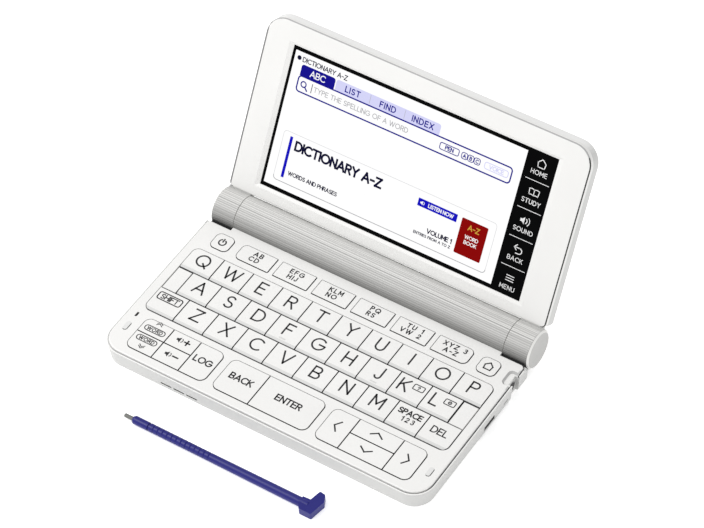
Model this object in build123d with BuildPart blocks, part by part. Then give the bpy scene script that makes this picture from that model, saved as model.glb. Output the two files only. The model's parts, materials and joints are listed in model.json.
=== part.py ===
from build123d import *
import os
from math import atan2, cos, degrees, radians, sin, sqrt

# A pocket electronic dictionary: a keyboard base, a tube across its back that holds two cells,
# and a lid with the display that turns about the tube. A stylus lies in front of it.
# Millimetres. +X is right, +Y away from the user, +Z up. The origin is on the table, under the
# middle of the front foot strip. The lid stands open.

# Base, outside
deck_side = 3.915  # side of the base to the block of letter keys
deck_front = 3.8  # front edge to the first keys
deck_back = 3.2  # last keys to the back of the side blocks
corner_r = 8.5  # front corners in plan
rear_r = 1.5  # rear corners in plan
under_r = 0.5  # rounding round the underside
rim_r = 0.5  # rounding round the deck
rim_out = 0.95  # how far the lower case's rim stands outside the deck
rim_low = 0.7  # deck to the top of that rim
rim_gap = 0.5  # groove between the deck's edge and the rim
heel_back = 2.7  # how far the side blocks reach back under the knuckles
heel_low = 2.6  # deck to the top of that heel
heel_gap = 0.45
seam_c = 0.15  # bevel round the top of the lower case's rim
front_foot_y = 7.0  # front edge to the middle of the front foot strip
rear_foot_back = 4.8  # back of the side blocks to the middle of the rear foot strip
foot_end = 18.0  # side of the base to the end of a foot strip
foot_d = 3.0
foot_stand = 0.4  # how far a foot stands out of the case
foot_sink = 0.5  # how deep it sits in its pocket
foot_play = 0.1

# Base, walls
wall_t = 1.5
floor_t = 1.2
deck_t = 1.5
rim_h = 1.8  # height of the top cover's edge
over_cut = 1.0  # how far a cut runs past what it cuts

# Hinge and battery tube
tube_back = 1.6  # back of the side blocks to the tube
tube_stand = 0.91  # table to the tube
tube_wall = 0.85
tube_end = 9.6  # end of the tube to the battery bay
axis_drop = 0.49  # deck down to the hinge axis
cell_room = 0.35  # round the cells
bay_spare = 0.8  # battery bay beyond its opening, at each end
door_lap = 0.05  # side of the door's opening to the widest part of the bay
door_gap = 0.2
nest_gap = 0.15  # tube to the shells it is set in
saddle_back = 2.7  # rear edge of the saddles, in front of the axis
pin_r = 2.0
pin_seat = 6.5  # length of a hinge pin inside the tube
pin_end = 0.1  # its inner end to the end of its hole
pin_out = 8.0  # length of a hinge pin outside the tube
pin_press = 0.02  # play of a pin in the tube
pin_play = 0.05  # play of a pin in a knuckle
knuckle_over = 0.4  # side of the base out to the outer face of a knuckle
knuckle_l = 11.1
knuckle_gap = 0.3
knuckle_bevel = 0.8
arm_w = 7.8
arm_in = 0.9  # inner face of a knuckle to its arm
arm_root = 2.5  # how deep an arm starts inside its knuckle
arm_l = 18.2  # length of an arm

# Cells and their contacts
cell_r = 7.1
cell_l = 50.5
nub_r = 2.7
nub_l = 1.0
can_r = 0.6  # rounding round a cell's can
cell_play = 0.05  # between the two cells
contact_t = 0.4
spring_l = 5.3
spring_t = 1.0
contact_r = 5.0

# Lid, measured from the hinge axis along the lid and from its face
open_deg = 119.7  # opening of the lid, from closed
lid_drop = 0.7  # hinge axis back to the lid's face
lid_t = 6.5
lid_inset = 0.07  # side of the base to the side of the lid
lid_clear = 0.5  # tube to the lid's lower edge
lid_corner_r = 8.5
lid_foot_r = 2.0  # its lower corners
lid_edge_r = 1.0  # rounding round the lid's back
lid_flare = 0.8  # how far the lid's back stands out past its front frame
bezel_edge_r = 0.8
bezel_h = 2.4  # height of the front frame
bezel_t = 1.0  # its plate
lid_wall = 1.4
back_t = 1.3
window_left = 13.28  # left side of the lid to the window
window_right = 13.51  # its right side to the window
window_foot = 5.91  # its lower edge to the window
window_head = 9.14  # its upper edge to the window
window_bevel_side = 2.0
window_bevel_end = 1.2
window_step = 0.25  # the window's own edge, below its bevel
glass_margin = 1.4  # how far the glass runs behind the frame
glass_t = 0.9
lcd_lap = 0.14  # how far the display starts behind the window's left side
lcd_edge = 0.57  # its lower and upper edges inside the window
strip_w = 12.71  # right side of the window to the display, for the touch icons
lcd_t = 2.2

# Keys
key_gap = 0.5  # between two keys
key_edge = 0.25  # between a key and the deck
key_h = 1.9
key_r = 3.0  # corners of a block of keys
press_room = 0.75  # a key or its stem to what it presses; the travel is 0.55
stem_r = 1.5
stem_h = 0.65
bevel_back = 1.4  # sloped strip along the front of a letter key
bevel_down = 0.45
pitch = 14.017
row_d = 12.45
top_row_d = 12.1
row_space = 3.0  # between the front row, the letter block and the row behind it
nav_d = 16.5
nav_front_d = 8.8  # depth of its front half, where a key is split
nav_space = 3.4  # between the blocks of the front row
left_keys = [12.7, 12.8, 11.7]  # widths in each block, from the left
middle_keys = [17.3, 26.5]
right_keys = [11.45, 19.95, 11.3]
top_d = 8.3
round_key = 8.5
round_in = 3.635  # end of the letter keys in to the power or home key
round_space = 3.85  # power or home key to the next wide key
round_r = 2.4
word_gap = 2.2
word_r = 0.4  # corners of a wide key
word_count = 6
groove_w = 0.3
groove_d = 0.4

# Under the keys
sheet_t = 0.4
dome_r = 2.2
dome_h = 0.5
film_t = 0.3
film_side = 8.7  # side of the base to the film and the ledges under it
film_over = 0.4  # how far the film stands out in front of its keys
film_short = 0.7  # and how far it stops short behind them
ledge_t = 0.8
board_t = 0.8
board_side = 3.5  # side of the base to the board
board_gap = 1.1  # board to the ledges behind it
neck_side = 10.0  # side of the base to the narrower front of the board
neck_front = 2.5  # front edge to the board
neck_d = 8.0
post_side = 16.0  # side of the base to the posts under the board
post_front = 12.5  # front of the board to the first posts
post_back = 5.8  # back of the board to the last posts
board_post_r = 1.5
chip_w = 17.0
chip_h = 1.2
chip_xs = [24.0, -48.0]  # left side of each chip
shield_w = 34.0
shield_d = 24.0
shield_x = -20.0
parts_back = 1.8  # back of the board to the shield and the chips
shield_h = 1.8

# Speaker, in front on the left, behind three slits
speaker_w = 20.0
speaker_d = 9.0
speaker_h = 2.9
speaker_r = 2.0
speaker_c = 0.4
speaker_side = 37.0  # left side of the base to the middle of the speaker
speaker_inset = 2.0
slit_h = 0.8
slit_up = 2.6  # underside of the case to the middle of the slits
slit_l = 5.1
slit_pitch = 6.05
slit_count = 3

# Right side: data socket, small slot and stylus bay
socket_back = 12.0  # back of the letter keys to the middle of the socket
socket_w = 7.0
socket_l = 7.5
socket_wall = 0.4
socket_inset = 0.2  # inner face of the wall to the socket's mouth
socket_end = 1.5  # its closed end
tongue_side = 0.8  # tongue to the socket's walls and mouth
socket_low = 1.35  # underside of the case to the socket
port_w = 7.6
port_low = 1.6
port_high = 4.2
tongue_t = 0.6
slot_back = 0.1  # back of the letter keys to the middle of the slot
slot_w = 3.1
slot_up = 2.8
slot_h = 0.7
bay_back = 7.8  # back of the side blocks to the axis of the stylus bay
notch_d = 5.4
notch_depth = 1.2
scoop_in = 3.8  # from the deck's edge, a shallow recess for the stylus's head
scoop_d = 1.0
scoop_front = 1.4  # how far the scoop runs past the front and the back of the notch
scoop_rear = 0.9
scoop_r = 1.9
scoop_slope = 35.0  # of its walls, in degrees
sleeve_bore_r = 2.1
sleeve_wall = 0.4
sleeve_l = 85.0

# Fasteners and small rubber pads
screw_r = 0.85
screw_head_r = 1.55
screw_head_h = 0.9
screw_play = 0.2
screw_end = 1.0  # end of a screw to the end of its hole
head_sink = 0.2  # recess above a screw's head
post_r = 1.75
post_split = 3.8  # underside of the case to where a boss meets a post
post_gap = 0.05
front_screw_in = (4.7, 6.0)  # from the side and the front of the base
rear_screw_in = (38.0, 1.25)  # from its side and its back
tube_screw_in = (5.0, 4.9)  # from the tube's end and the hinge axis
tube_screw_l = 5.0
bumper_in = (4.0, 12.4)  # from the side and the front of the base
bumper_w = 1.9
bumper_l = 4.4
bumper_proud = 0.12
bumper_sink = 0.5
bumper_play = 0.05
mic_in = (4.0, 19.2)  # from the left side and the front of the base
mic_w = 0.7
mic_d = 2.0

# Stylus, along X from its tip
stylus_tip_x = -48.8
stylus_front = 20.0  # in front of the base
stylus_r = 1.95  # at the head
grip_r = 1.75
tip_l = 4.2
tip_r = 0.85
tip_root = 2.0  # length of the tip inside the shaft
nose_l = 7.2
neck_l = 0.8
neck_r = 1.35
rib_count = 13
rib_pitch = 2.15
rib_w = 0.6
rib_depth = 0.22
shaft_l = 85.0
tip_round = 0.5
nose_bevel = 0.7
head_t = 3.4
head_r = 0.7  # rounding of its corners
head_back = 3.5  # how far the head reaches along the shaft
head_out = 4.9  # how far it reaches beyond the shaft
bulge = 3.9  # how far it stands out to the front
hook = 7.0  # and to the back
bulge_in = 1.3  # end of the head to the end of the bulge
hook_in = 1.5  # end of the head to the outer corner of the hook
hook_cut = 0.4  # how far that corner is cut back
hook_side = 0.8  # end of the shaft to the inner corner of the hook
hook_lean = 1.0  # how far the hook's inner side leans

# Places that follow from the sizes above; y is counted from the front edge of the base
block_half = 5 * pitch
bay_half = (2 * (cell_l + cell_play) + contact_t + spring_l) / 2
door_half = bay_half - bay_spare
hinge_half = bay_half + tube_end + knuckle_gap + knuckle_l
side_x = max(block_half + deck_side, hinge_half - knuckle_over)  # what needs more width sets it
case_w = 2 * side_x
bay_r = cell_r + cell_room
tube_r = bay_r + tube_wall
door_half_w = bay_r - door_lap
block_front = deck_front + nav_d + row_space
block_back = block_front + 2 * row_d + top_row_d
row_lines = [block_front, block_front + row_d, block_back - top_row_d, block_back]
top_front = block_back + row_space
case_d = top_front + top_d + deck_back
axis_back = case_d + tube_back + tube_r
rear_foot_y = case_d - rear_foot_back
foot_half = side_x - foot_end
front_y = -front_foot_y
case_z = foot_stand
axis_z = tube_stand + tube_r
deck_z = axis_z + axis_drop
seam_z = deck_z - rim_h
rim_top = deck_z - rim_low
floor_z = case_z + floor_t
ceiling_z = deck_z - deck_t
split_z = case_z + post_split
axis_y = front_y + axis_back
key_z = deck_z - key_h
stem_z = key_z - stem_h
dome_z = stem_z - press_room
sheet_z = dome_z - dome_h - sheet_t
board_z = sheet_z - board_t
film_z = key_z - press_room - film_t
sleeve_r = sleeve_bore_r + sleeve_wall
sleeve_z = (film_z + floor_z) / 2
mouth_x = side_x - notch_depth
inner_x = side_x - wall_t
bay_y = case_d - bay_back
notch_front = bay_y - notch_d / 2
notch_back = bay_y + notch_d / 2
socket_y = block_back - socket_back
slot_y = block_back + slot_back
board_half = side_x - board_side
board_front = neck_front + neck_d
board_neck_half = side_x - neck_side
film_half = side_x - film_side
film_front = top_front - film_over
film_back = top_front + top_d - film_short
board_back = film_front - board_gap
board_posts = [
    (side * (side_x - post_side), y)
    for side in (-1, 1)
    for y in (neck_front + post_front, board_back - post_back)
]
speaker_x = speaker_side - side_x
slit_xs = [speaker_x + (n - (slit_count - 1) / 2) * slit_pitch for n in range(slit_count)]
knuckle_end = side_x + knuckle_over
tube_half = knuckle_end - knuckle_l - knuckle_gap
arm_reach = tube_r - arm_root + arm_l
lid_half = side_x - lid_inset
lid_low = tube_r + lid_clear
lid_high = axis_back
window_x = (window_left - lid_half, lid_half - window_right)
window_y = (lid_low + window_foot, lid_high - window_head)
lcd_x = (window_x[0] - lcd_lap, window_x[1] - strip_w)
lcd_y = (window_y[0] + lcd_edge, window_y[1] - lcd_edge)
face_z = -lid_drop
lid_seam = face_z - bezel_h
lid_back_z = face_z - lid_t
back_z = lid_back_z + back_t
glass_z = face_z - bezel_t
lcd_z = glass_z - glass_t
stylus_y = front_y - stylus_front
front_screw = (side_x - front_screw_in[0], front_screw_in[1])
rear_screw = (side_x - rear_screw_in[0], case_d - rear_screw_in[1])
tube_screw = (tube_half - tube_screw_in[0], axis_back - tube_screw_in[1])
screws = [(side * x, y) for x, y in (front_screw, rear_screw, tube_screw) for side in (-1, 1)]
post_places = [(side * x, y) for x, y in (front_screw, rear_screw) for side in (-1, 1)]
bumper = (side_x - bumper_in[0], bumper_in[1])

tilt = radians(open_deg)
lid_plane = Plane(
    origin=(0, axis_y, axis_z), x_dir=(1, 0, 0), z_dir=(0, -sin(tilt), -cos(tilt))
)
tube_plane = Plane(origin=(0, axis_y, axis_z), x_dir=(0, 1, 0), z_dir=(1, 0, 0))

os.makedirs("parts", exist_ok=True)


def block(x, y, z, mode=Mode.ADD):
    """A box between (low, high) limits, in the part being built."""
    with Locations(((x[0] + x[1]) / 2, (y[0] + y[1]) / 2, (z[0] + z[1]) / 2)):
        Box(x[1] - x[0], y[1] - y[0], z[1] - z[0], mode=mode)


def base_block(x, y, z, mode=Mode.ADD):
    """A box whose Y limits are counted from the front edge of the base."""
    block(x, (front_y + y[0], front_y + y[1]), z, mode)


def rod(x, y, radius, z, mode=Mode.ADD):
    """An upright cylinder; y is counted from the front edge of the base."""
    with Locations((x, front_y + y, (z[0] + z[1]) / 2)):
        Cylinder(radius, z[1] - z[0], mode=mode)


def cross_rod(x, radius, mode=Mode.ADD):
    """A cylinder on the hinge axis between two X limits."""
    with Locations((0, 0, (x[0] + x[1]) / 2)):
        Cylinder(radius, x[1] - x[0], mode=mode)


def base_plan(inset, height, behind=0.0):
    """The outline of the base, set in from its edge and rounded at the corners."""
    with BuildSketch(Plane.XY.offset(height)) as plan:
        with Locations((0, front_y + (case_d + behind) / 2)):
            Rectangle(case_w - 2 * inset, case_d + behind - 2 * inset)
        fillet(plan.vertices().group_by(Axis.Y)[0], corner_r - inset)
        fillet(plan.vertices().group_by(Axis.Y)[-1], rear_r - min(inset, rear_r / 2))
    return plan.sketch


def round_plan(x, y, radii, height, grow=0.0):
    """A rectangle with rounded (left, right) corners; y is counted from the base's front edge."""
    with BuildSketch(Plane.XY.offset(height)) as plan:
        with Locations(((x[0] + x[1]) / 2, front_y + (y[0] + y[1]) / 2)):
            Rectangle(x[1] - x[0] + 2 * grow, y[1] - y[0] + 2 * grow)
        fillet(plan.vertices().group_by(Axis.X)[0], radii[0] + grow)
        fillet(plan.vertices().group_by(Axis.X)[-1], radii[1] + grow)
    return plan.sketch


def lid_plan(inset, height):
    """The outline of the lid at one height over the hinge axis."""
    low, high = lid_low + inset, lid_high - inset
    with BuildSketch(lid_plane.offset(height)) as plan:
        with Locations((0, (low + high) / 2)):
            Rectangle(2 * (lid_half - inset), high - low)
        fillet(plan.vertices().group_by(Axis.Y)[0], lid_foot_r - min(inset, lid_foot_r / 2))
        fillet(plan.vertices().group_by(Axis.Y)[-1], lid_corner_r - inset)
    return plan.sketch


def window_plan(height, side=0.0, end=0.0):
    """The outline of the lid's window at one height, grown at its sides and at its ends."""
    with BuildSketch(lid_plane.offset(height)) as plan:
        with Locations((sum(window_x) / 2, sum(window_y) / 2)):
            Rectangle(window_x[1] - window_x[0] + 2 * side, window_y[1] - window_y[0] + 2 * end)
    return plan.sketch


# The blocks of keys: (low, high) in X and Y, and the radii of the left and right corners
block_radii = (key_r, key_r)
round_radii = (round_r, round_r)
row_block = ((-block_half, block_half), (block_front, block_back), block_radii)
nav_rows = (deck_front, deck_front + nav_d)
top_rows = (top_front, top_front + top_d)
round_x = block_half - round_in - round_key
words_half = round_x - round_space
word_pitch = (2 * words_half + word_gap) / word_count
word_cells = [
    (n * word_pitch - words_half, (n + 1) * word_pitch - word_gap - words_half)
    for n in range(word_count)
]
word_radii = [(word_r, word_r) for _ in word_cells]
word_radii[0] = (round_r, word_r)
word_radii[-1] = (word_r, round_r)
round_cells = [(-round_x - round_key, -round_x), (round_x, round_x + round_key)]
nav_widths = [left_keys, middle_keys, right_keys]
nav_start = -(sum(sum(widths) for widths in nav_widths) + 2 * nav_space) / 2
nav_edges = []
for widths in nav_widths:
    edges = [nav_start + sum(widths[:n]) for n in range(len(widths) + 1)]
    nav_edges.append(edges)
    nav_start = edges[-1] + nav_space
openings = [row_block]
openings += [((edges[0], edges[-1]), nav_rows, block_radii) for edges in nav_edges]
openings += [(cell, top_rows, radii) for cell, radii in zip(word_cells, word_radii)]
openings += [(cell, top_rows, round_radii) for cell in round_cells]


# Every key: its name, its block, its cells, and whether it has the sloped strip of a letter key
keys = []
row_starts = [-block_half, pitch / 2 - block_half, -block_half]
row_names = [
    ["shift", "z", "x", "c", "v", "b", "n", "m", "space", "delete"],
    ["a", "s", "d", "f", "g", "h", "j", "k", "l"],
    ["q", "w", "e", "r", "t", "y", "u", "i", "o", "p"],
]
for start, names, near, far in zip(row_starts, row_names, row_lines, row_lines[1:]):
    for place, name in enumerate(names):
        cell = (start + place * pitch, start + (place + 1) * pitch), (near, far)
        keys.append((f"key_{name}", row_block, [cell], True))

# The front row, block by block: each key's name, and whether it is split front and back
nav_split = deck_front + nav_front_d
nav_pair = [(deck_front, nav_split), (nav_split, deck_front + nav_d)]
nav_names = [
    [("heading_keys", True), ("volume_keys", True), ("history_key", False)],
    [("back_key", False), ("enter_key", False)],
    [("left_key", False), ("up_down_keys", True), ("right_key", False)],
]
for opening, edges, names in zip(openings[1:], nav_edges, nav_names):
    for (name, split), left, right in zip(names, edges, edges[1:]):
        cells = [((left, right), row) for row in (nav_pair if split else [nav_rows])]
        keys.append((name, opening, cells, False))


def key_caps(opening, cells, sloped):
    """Caps that fill cells of one opening, each cut back by its gaps, with a stem below."""
    x_all, y_all, _ = opening
    width = x_all[1] - x_all[0] - 2 * key_edge
    depth = y_all[1] - y_all[0] - 2 * key_edge
    with BuildPart() as caps:
        for x, y in cells:
            with BuildSketch(Plane.XY.offset(key_z)):
                with Locations(((x_all[0] + x_all[1]) / 2, front_y + (y_all[0] + y_all[1]) / 2)):
                    RectangleRounded(width, depth, key_r - key_edge)
                with Locations(((x[0] + x[1]) / 2, front_y + (y[0] + y[1]) / 2)):
                    Rectangle(x[1] - x[0] - key_gap, y[1] - y[0] - key_gap, mode=Mode.INTERSECT)
            extrude(amount=key_h)
            if sloped:
                front = front_y + y[0] + key_gap / 2
                with BuildSketch(Plane.YZ.offset(x[0])):
                    with BuildLine():
                        Polyline(
                            (front, deck_z - bevel_down),
                            (front + bevel_back, deck_z),
                            (front, deck_z),
                            close=True,
                        )
                    make_face()
                extrude(amount=x[1] - x[0], mode=Mode.SUBTRACT)
            rod((x[0] + x[1]) / 2, (y[0] + y[1]) / 2, stem_r, (stem_z, key_z))
    return caps


for name, opening, cells, sloped in keys:
    key = key_caps(opening, cells, sloped)
    key.part.label = name
    export_step(key.part, f"parts/{name}.step")

# The row behind the letters: power, six wide keys and home
top_keys = [
    ("power_key", [round_cells[0]], [round_radii]),
    ("dictionary_keys", word_cells, word_radii),
    ("home_key", [round_cells[1]], [round_radii]),
]
for name, cells, corners in top_keys:
    with BuildPart() as key:
        for cell, radii in zip(cells, corners):
            extrude(round_plan(cell, top_rows, radii, key_z, -key_edge), amount=key_h)
    key.part.label = name
    export_step(key.part, f"parts/{name}.step")


with BuildPart() as lower_case:
    # walls that lean outwards, up to a rim round the top cover
    draft = degrees(atan2(rim_out, rim_top - case_z))
    extrude(base_plan(0, case_z, heel_back), amount=rim_top - case_z, taper=-draft)
    fillet(lower_case.faces().sort_by(Axis.Z)[0].outer_wire().edges(), under_r)
    chamfer(lower_case.faces().sort_by(Axis.Z)[-1].outer_wire().edges(), seam_c)
    extrude(base_plan(-rim_gap, seam_z), amount=rim_h, mode=Mode.SUBTRACT)
    extrude(base_plan(wall_t, floor_z), amount=seam_z - floor_z, mode=Mode.SUBTRACT)
    # heels under the knuckles, at the ends of the tube only
    base_block(
        (-tube_half, tube_half), (case_d, axis_back), (0, deck_z), mode=Mode.SUBTRACT
    )
    base_block((-case_w, case_w), (case_d, axis_back), (deck_z - heel_low, deck_z), mode=Mode.SUBTRACT)
    with Locations(tube_plane):
        Cylinder(tube_r + heel_gap, 2 * case_w, mode=Mode.SUBTRACT)
    # behind the case: a solid wall along the tube and a saddle under each of its ends
    wall_back = axis_back - door_half_w - 2 * door_gap
    base_block((-tube_half, tube_half), (case_d - wall_t, wall_back), (case_z, seam_z))
    for side in (-1, 1):
        saddle = sorted((side * (door_half + door_gap), side * tube_half))
        base_block(saddle, (case_d - wall_t, axis_back - saddle_back), (case_z, axis_z - pin_r))
    with Locations(tube_plane):
        Cylinder(tube_r + nest_gap, 2 * tube_half + over_cut, mode=Mode.SUBTRACT)
    # bosses, posts under the board and ledges under the film
    for x, y in post_places:
        rod(x, y, post_r, (floor_z, split_z))
    for x, y in board_posts:
        rod(x, y, board_post_r, (floor_z, board_z))
    for y in (film_front, film_back - ledge_t):
        base_block((-film_half, film_half), (y, y + ledge_t), (floor_z, film_z))
    # recess beside the stylus bay, with a wall that holds the sleeve's mouth
    base_block(
        (mouth_x - wall_t, mouth_x),
        (notch_front - wall_t, notch_back + wall_t),
        (floor_z, seam_z),
    )
    base_block(
        (mouth_x, case_w), (notch_front, notch_back), (0, deck_z), mode=Mode.SUBTRACT
    )
    with Locations(Plane(origin=(mouth_x, front_y + bay_y, sleeve_z), z_dir=(1, 0, 0))):
        Cylinder(sleeve_r + nest_gap / 2, 3 * wall_t, mode=Mode.SUBTRACT)
    # clearance for the posts of the top cover
    for x, y in post_places:
        rod(x, y, post_r + nest_gap, (split_z, deck_z), mode=Mode.SUBTRACT)
    # screw holes
    for x, y in screws:
        rod(x, y, screw_r + screw_play, (0, split_z + over_cut), mode=Mode.SUBTRACT)
        rod(
            x, y, screw_head_r + screw_play, (0, case_z + head_sink + screw_head_h),
            mode=Mode.SUBTRACT,
        )
    # slits in front of the speaker, data port, small slot and pockets for the feet
    for x in slit_xs:
        base_block(
            (x - slit_l / 2, x + slit_l / 2),
            (-over_cut, wall_t + over_cut),
            (case_z + slit_up - slit_h / 2, case_z + slit_up + slit_h / 2),
            mode=Mode.SUBTRACT,
        )
    base_block(
        (inner_x - over_cut, case_w),
        (socket_y - port_w / 2, socket_y + port_w / 2),
        (case_z + port_low, case_z + port_high),
        mode=Mode.SUBTRACT,
    )
    base_block(
        (inner_x - over_cut, case_w),
        (slot_y - slot_w / 2, slot_y + slot_w / 2),
        (case_z + slot_up - slot_h / 2, case_z + slot_up + slot_h / 2),
        mode=Mode.SUBTRACT,
    )
    for y in (front_foot_y, rear_foot_y):
        base_block(
            (-foot_half, foot_half),
            (y - foot_d / 2, y + foot_d / 2),
            (0, case_z + foot_sink),
            mode=Mode.SUBTRACT,
        )

lower_case.part.label = "lower_case"
export_step(lower_case.part, "parts/lower_case.step")


with BuildPart() as top_cover:
    extrude(base_plan(0, seam_z), amount=rim_h)
    # the tongue that reaches back to the tube
    base_block(
        (-tube_half, tube_half),
        (case_d - wall_t, axis_back - tube_r - nest_gap),
        (seam_z, deck_z),
    )
    fillet(top_cover.faces().sort_by(Axis.Z)[-1].outer_wire().edges().sort_by(Axis.Y)[:5], rim_r)
    extrude(base_plan(wall_t, seam_z), amount=ceiling_z - seam_z, mode=Mode.SUBTRACT)
    for x, y, radii in openings:
        extrude(round_plan(x, y, radii, seam_z), amount=rim_h, mode=Mode.SUBTRACT)
    # blank half keys at both ends of the middle row, with a groove where they join the deck
    for side in (-1, 1):
        row = (row_lines[1] + key_gap / 2, row_lines[2] - key_gap / 2)
        filler = sorted((side * (block_half - pitch / 2 + key_gap / 2), side * (block_half + over_cut)))
        base_block(filler, row, (ceiling_z, deck_z))
        groove = sorted((side * (block_half - groove_w), side * block_half))
        base_block(groove, row, (deck_z - groove_d, deck_z), mode=Mode.SUBTRACT)
    for x, y in post_places:
        rod(x, y, post_r, (split_z + post_gap, ceiling_z))
        rod(x, y, screw_r + post_gap, (split_z, ceiling_z - screw_end / 2), mode=Mode.SUBTRACT)
    base_block(
        (mouth_x, case_w),
        (notch_front, notch_back),
        (seam_z - over_cut, deck_z + over_cut),
        mode=Mode.SUBTRACT,
    )
    # a shallow scoop round the notch
    scoop = (
        (side_x - scoop_in, side_x + scoop_in),
        (notch_front - scoop_front, notch_back + scoop_rear),
    )
    extrude(round_plan(*scoop, (scoop_r, scoop_r), deck_z), amount=-scoop_d, taper=scoop_slope, mode=Mode.SUBTRACT)
    for side in (-1, 1):
        x, y = side * bumper[0], bumper[1]
        pocket = ((x - bumper_w / 2, x + bumper_w / 2), (y - bumper_l / 2, y + bumper_l / 2))
        radius = bumper_w / 2 - bumper_play
        plan = round_plan(*pocket, (radius, radius), deck_z - bumper_sink)
        extrude(plan, amount=bumper_sink, mode=Mode.SUBTRACT)
    base_block(
        (mic_in[0] - side_x - mic_w / 2, mic_in[0] - side_x + mic_w / 2),
        (mic_in[1] - mic_d / 2, mic_in[1] + mic_d / 2),
        (ceiling_z - over_cut, deck_z + over_cut),
        mode=Mode.SUBTRACT,
    )

top_cover.part.label = "top_cover"
export_step(top_cover.part, "parts/top_cover.step")


with BuildPart() as key_sheet:
    # silicone sheet with a dome under each key, over the whole board
    base_block((-board_half, board_half), (board_front, board_back), (sheet_z, sheet_z + sheet_t))
    base_block(
        (-board_neck_half, board_neck_half),
        (neck_front, board_front),
        (sheet_z, sheet_z + sheet_t),
    )
    for _, _, cells, _ in keys:
        for x, y in cells:
            rod((x[0] + x[1]) / 2, (y[0] + y[1]) / 2, dome_r, (sheet_z + sheet_t, dome_z))
    # switch film under the row behind the letters
    base_block((-film_half, film_half), (film_front, film_back), (film_z, film_z + film_t))

key_sheet.part.label = "key_sheet"
export_step(key_sheet.part, "parts/key_sheet.step")


with BuildPart() as main_board:
    base_block((-board_half, board_half), (board_front, board_back), (board_z, sheet_z))
    base_block(
        (-board_neck_half, board_neck_half), (neck_front, board_front), (board_z, sheet_z)
    )
    back = board_back - parts_back
    base_block((shield_x, shield_x + shield_w), (back - shield_d, back), (board_z - shield_h, board_z))
    for x in chip_xs:
        base_block((x, x + chip_w), (back - chip_w, back), (board_z - chip_h, board_z))

main_board.part.label = "main_board"
export_step(main_board.part, "parts/main_board.step")


with BuildPart(Plane(origin=(mouth_x, front_y + bay_y, sleeve_z), z_dir=(1, 0, 0))) as stylus_sleeve:
    with Locations((0, 0, -sleeve_l / 2)):
        Cylinder(sleeve_r, sleeve_l)
    with Locations((0, 0, -(sleeve_l - wall_t) / 2)):
        Cylinder(sleeve_bore_r, sleeve_l - wall_t, mode=Mode.SUBTRACT)

stylus_sleeve.part.label = "stylus_sleeve"
export_step(stylus_sleeve.part, "parts/stylus_sleeve.step")


with BuildPart() as speaker:
    base_block(
        (speaker_x - speaker_w / 2, speaker_x + speaker_w / 2),
        (speaker_inset, speaker_inset + speaker_d),
        (floor_z, floor_z + speaker_h),
    )
    fillet(speaker.edges().filter_by(Axis.Z), speaker_r)
    chamfer(speaker.faces().sort_by(Axis.Z)[-1].edges(), speaker_c)

speaker.part.label = "speaker"
export_step(speaker.part, "parts/speaker.step")


with BuildPart() as usb_socket:
    socket_x = (inner_x - socket_inset - socket_l, inner_x - socket_inset)
    socket_z = case_z + socket_low
    mouth_top = case_z + port_high - socket_wall
    base_block(
        socket_x, (socket_y - socket_w / 2, socket_y + socket_w / 2), (socket_z, board_z)
    )
    base_block(
        (socket_x[0] + socket_end, socket_x[1]),
        (socket_y - socket_w / 2 + socket_wall, socket_y + socket_w / 2 - socket_wall),
        (socket_z + socket_wall, mouth_top),
        mode=Mode.SUBTRACT,
    )
    tongue_w = socket_w - 2 * socket_wall - 2 * tongue_side
    tongue_z = (socket_z + socket_wall + mouth_top) / 2
    base_block(
        (socket_x[0] + socket_end - socket_wall, socket_x[1] - tongue_side),
        (socket_y - tongue_w / 2, socket_y + tongue_w / 2),
        (tongue_z - tongue_t / 2, tongue_z + tongue_t / 2),
    )

usb_socket.part.label = "usb_socket"
export_step(usb_socket.part, "parts/usb_socket.step")


with BuildPart(tube_plane) as battery_tube:
    cross_rod((-tube_half, tube_half), tube_r)
    cross_rod((-bay_half, bay_half), bay_r, mode=Mode.SUBTRACT)
    opening = (-door_half_w, door_half_w), (-tube_r - over_cut, 0), (-door_half, door_half)
    block(*opening, mode=Mode.SUBTRACT)
    for side in (-1, 1):
        seat = sorted((side * (tube_half - pin_seat - pin_end), side * (tube_half + over_cut)))
        cross_rod(seat, pin_r + pin_press, mode=Mode.SUBTRACT)
        with Locations((tube_screw[1] - axis_back, -tube_r, side * tube_screw[0])):
            Cylinder(
                screw_r + post_gap, 2 * tube_screw_l, rotation=(90, 0, 0), mode=Mode.SUBTRACT
            )

battery_tube.part.label = "battery_tube"
export_step(battery_tube.part, "parts/battery_tube.step")


with BuildPart(tube_plane) as battery_door:
    half = door_half - door_gap
    cross_rod((-half, half), tube_r)
    cross_rod((-half - over_cut, half + over_cut), bay_r, mode=Mode.SUBTRACT)
    half_w = door_half_w - door_gap
    block((-half_w, half_w), (-tube_r - over_cut, 0), (-half, half), Mode.INTERSECT)

battery_door.part.label = "battery_door"
export_step(battery_door.part, "parts/battery_door.step")


with BuildPart(tube_plane) as batteries:
    cell_end = bay_half - contact_t
    for place in range(2):
        end = cell_end - place * (cell_l + cell_play)
        cross_rod((end - cell_l, end - nub_l), cell_r)
        fillet(batteries.edges().filter_by(GeomType.CIRCLE).sort_by(Axis.X)[:2], can_r)
        cross_rod((end - nub_l, end), nub_r)

batteries.part.label = "batteries"
export_step(batteries.part, "parts/batteries.step")


with BuildPart(tube_plane) as battery_contacts:
    cross_rod((cell_end, bay_half), contact_r)
    cross_rod((-bay_half, -bay_half + contact_t), contact_r)
    with Locations((0, 0, -bay_half + spring_l / 2)):
        Cone(contact_r, nub_r, spring_l)
        Cone(contact_r - spring_t, nub_r - spring_t, spring_l, mode=Mode.SUBTRACT)

battery_contacts.part.label = "battery_contacts"
export_step(battery_contacts.part, "parts/battery_contacts.step")


with BuildPart(tube_plane) as hinge_pins:
    for side in (-1, 1):
        cross_rod(sorted((side * (tube_half - pin_seat), side * (tube_half + pin_out))), pin_r)

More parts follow.
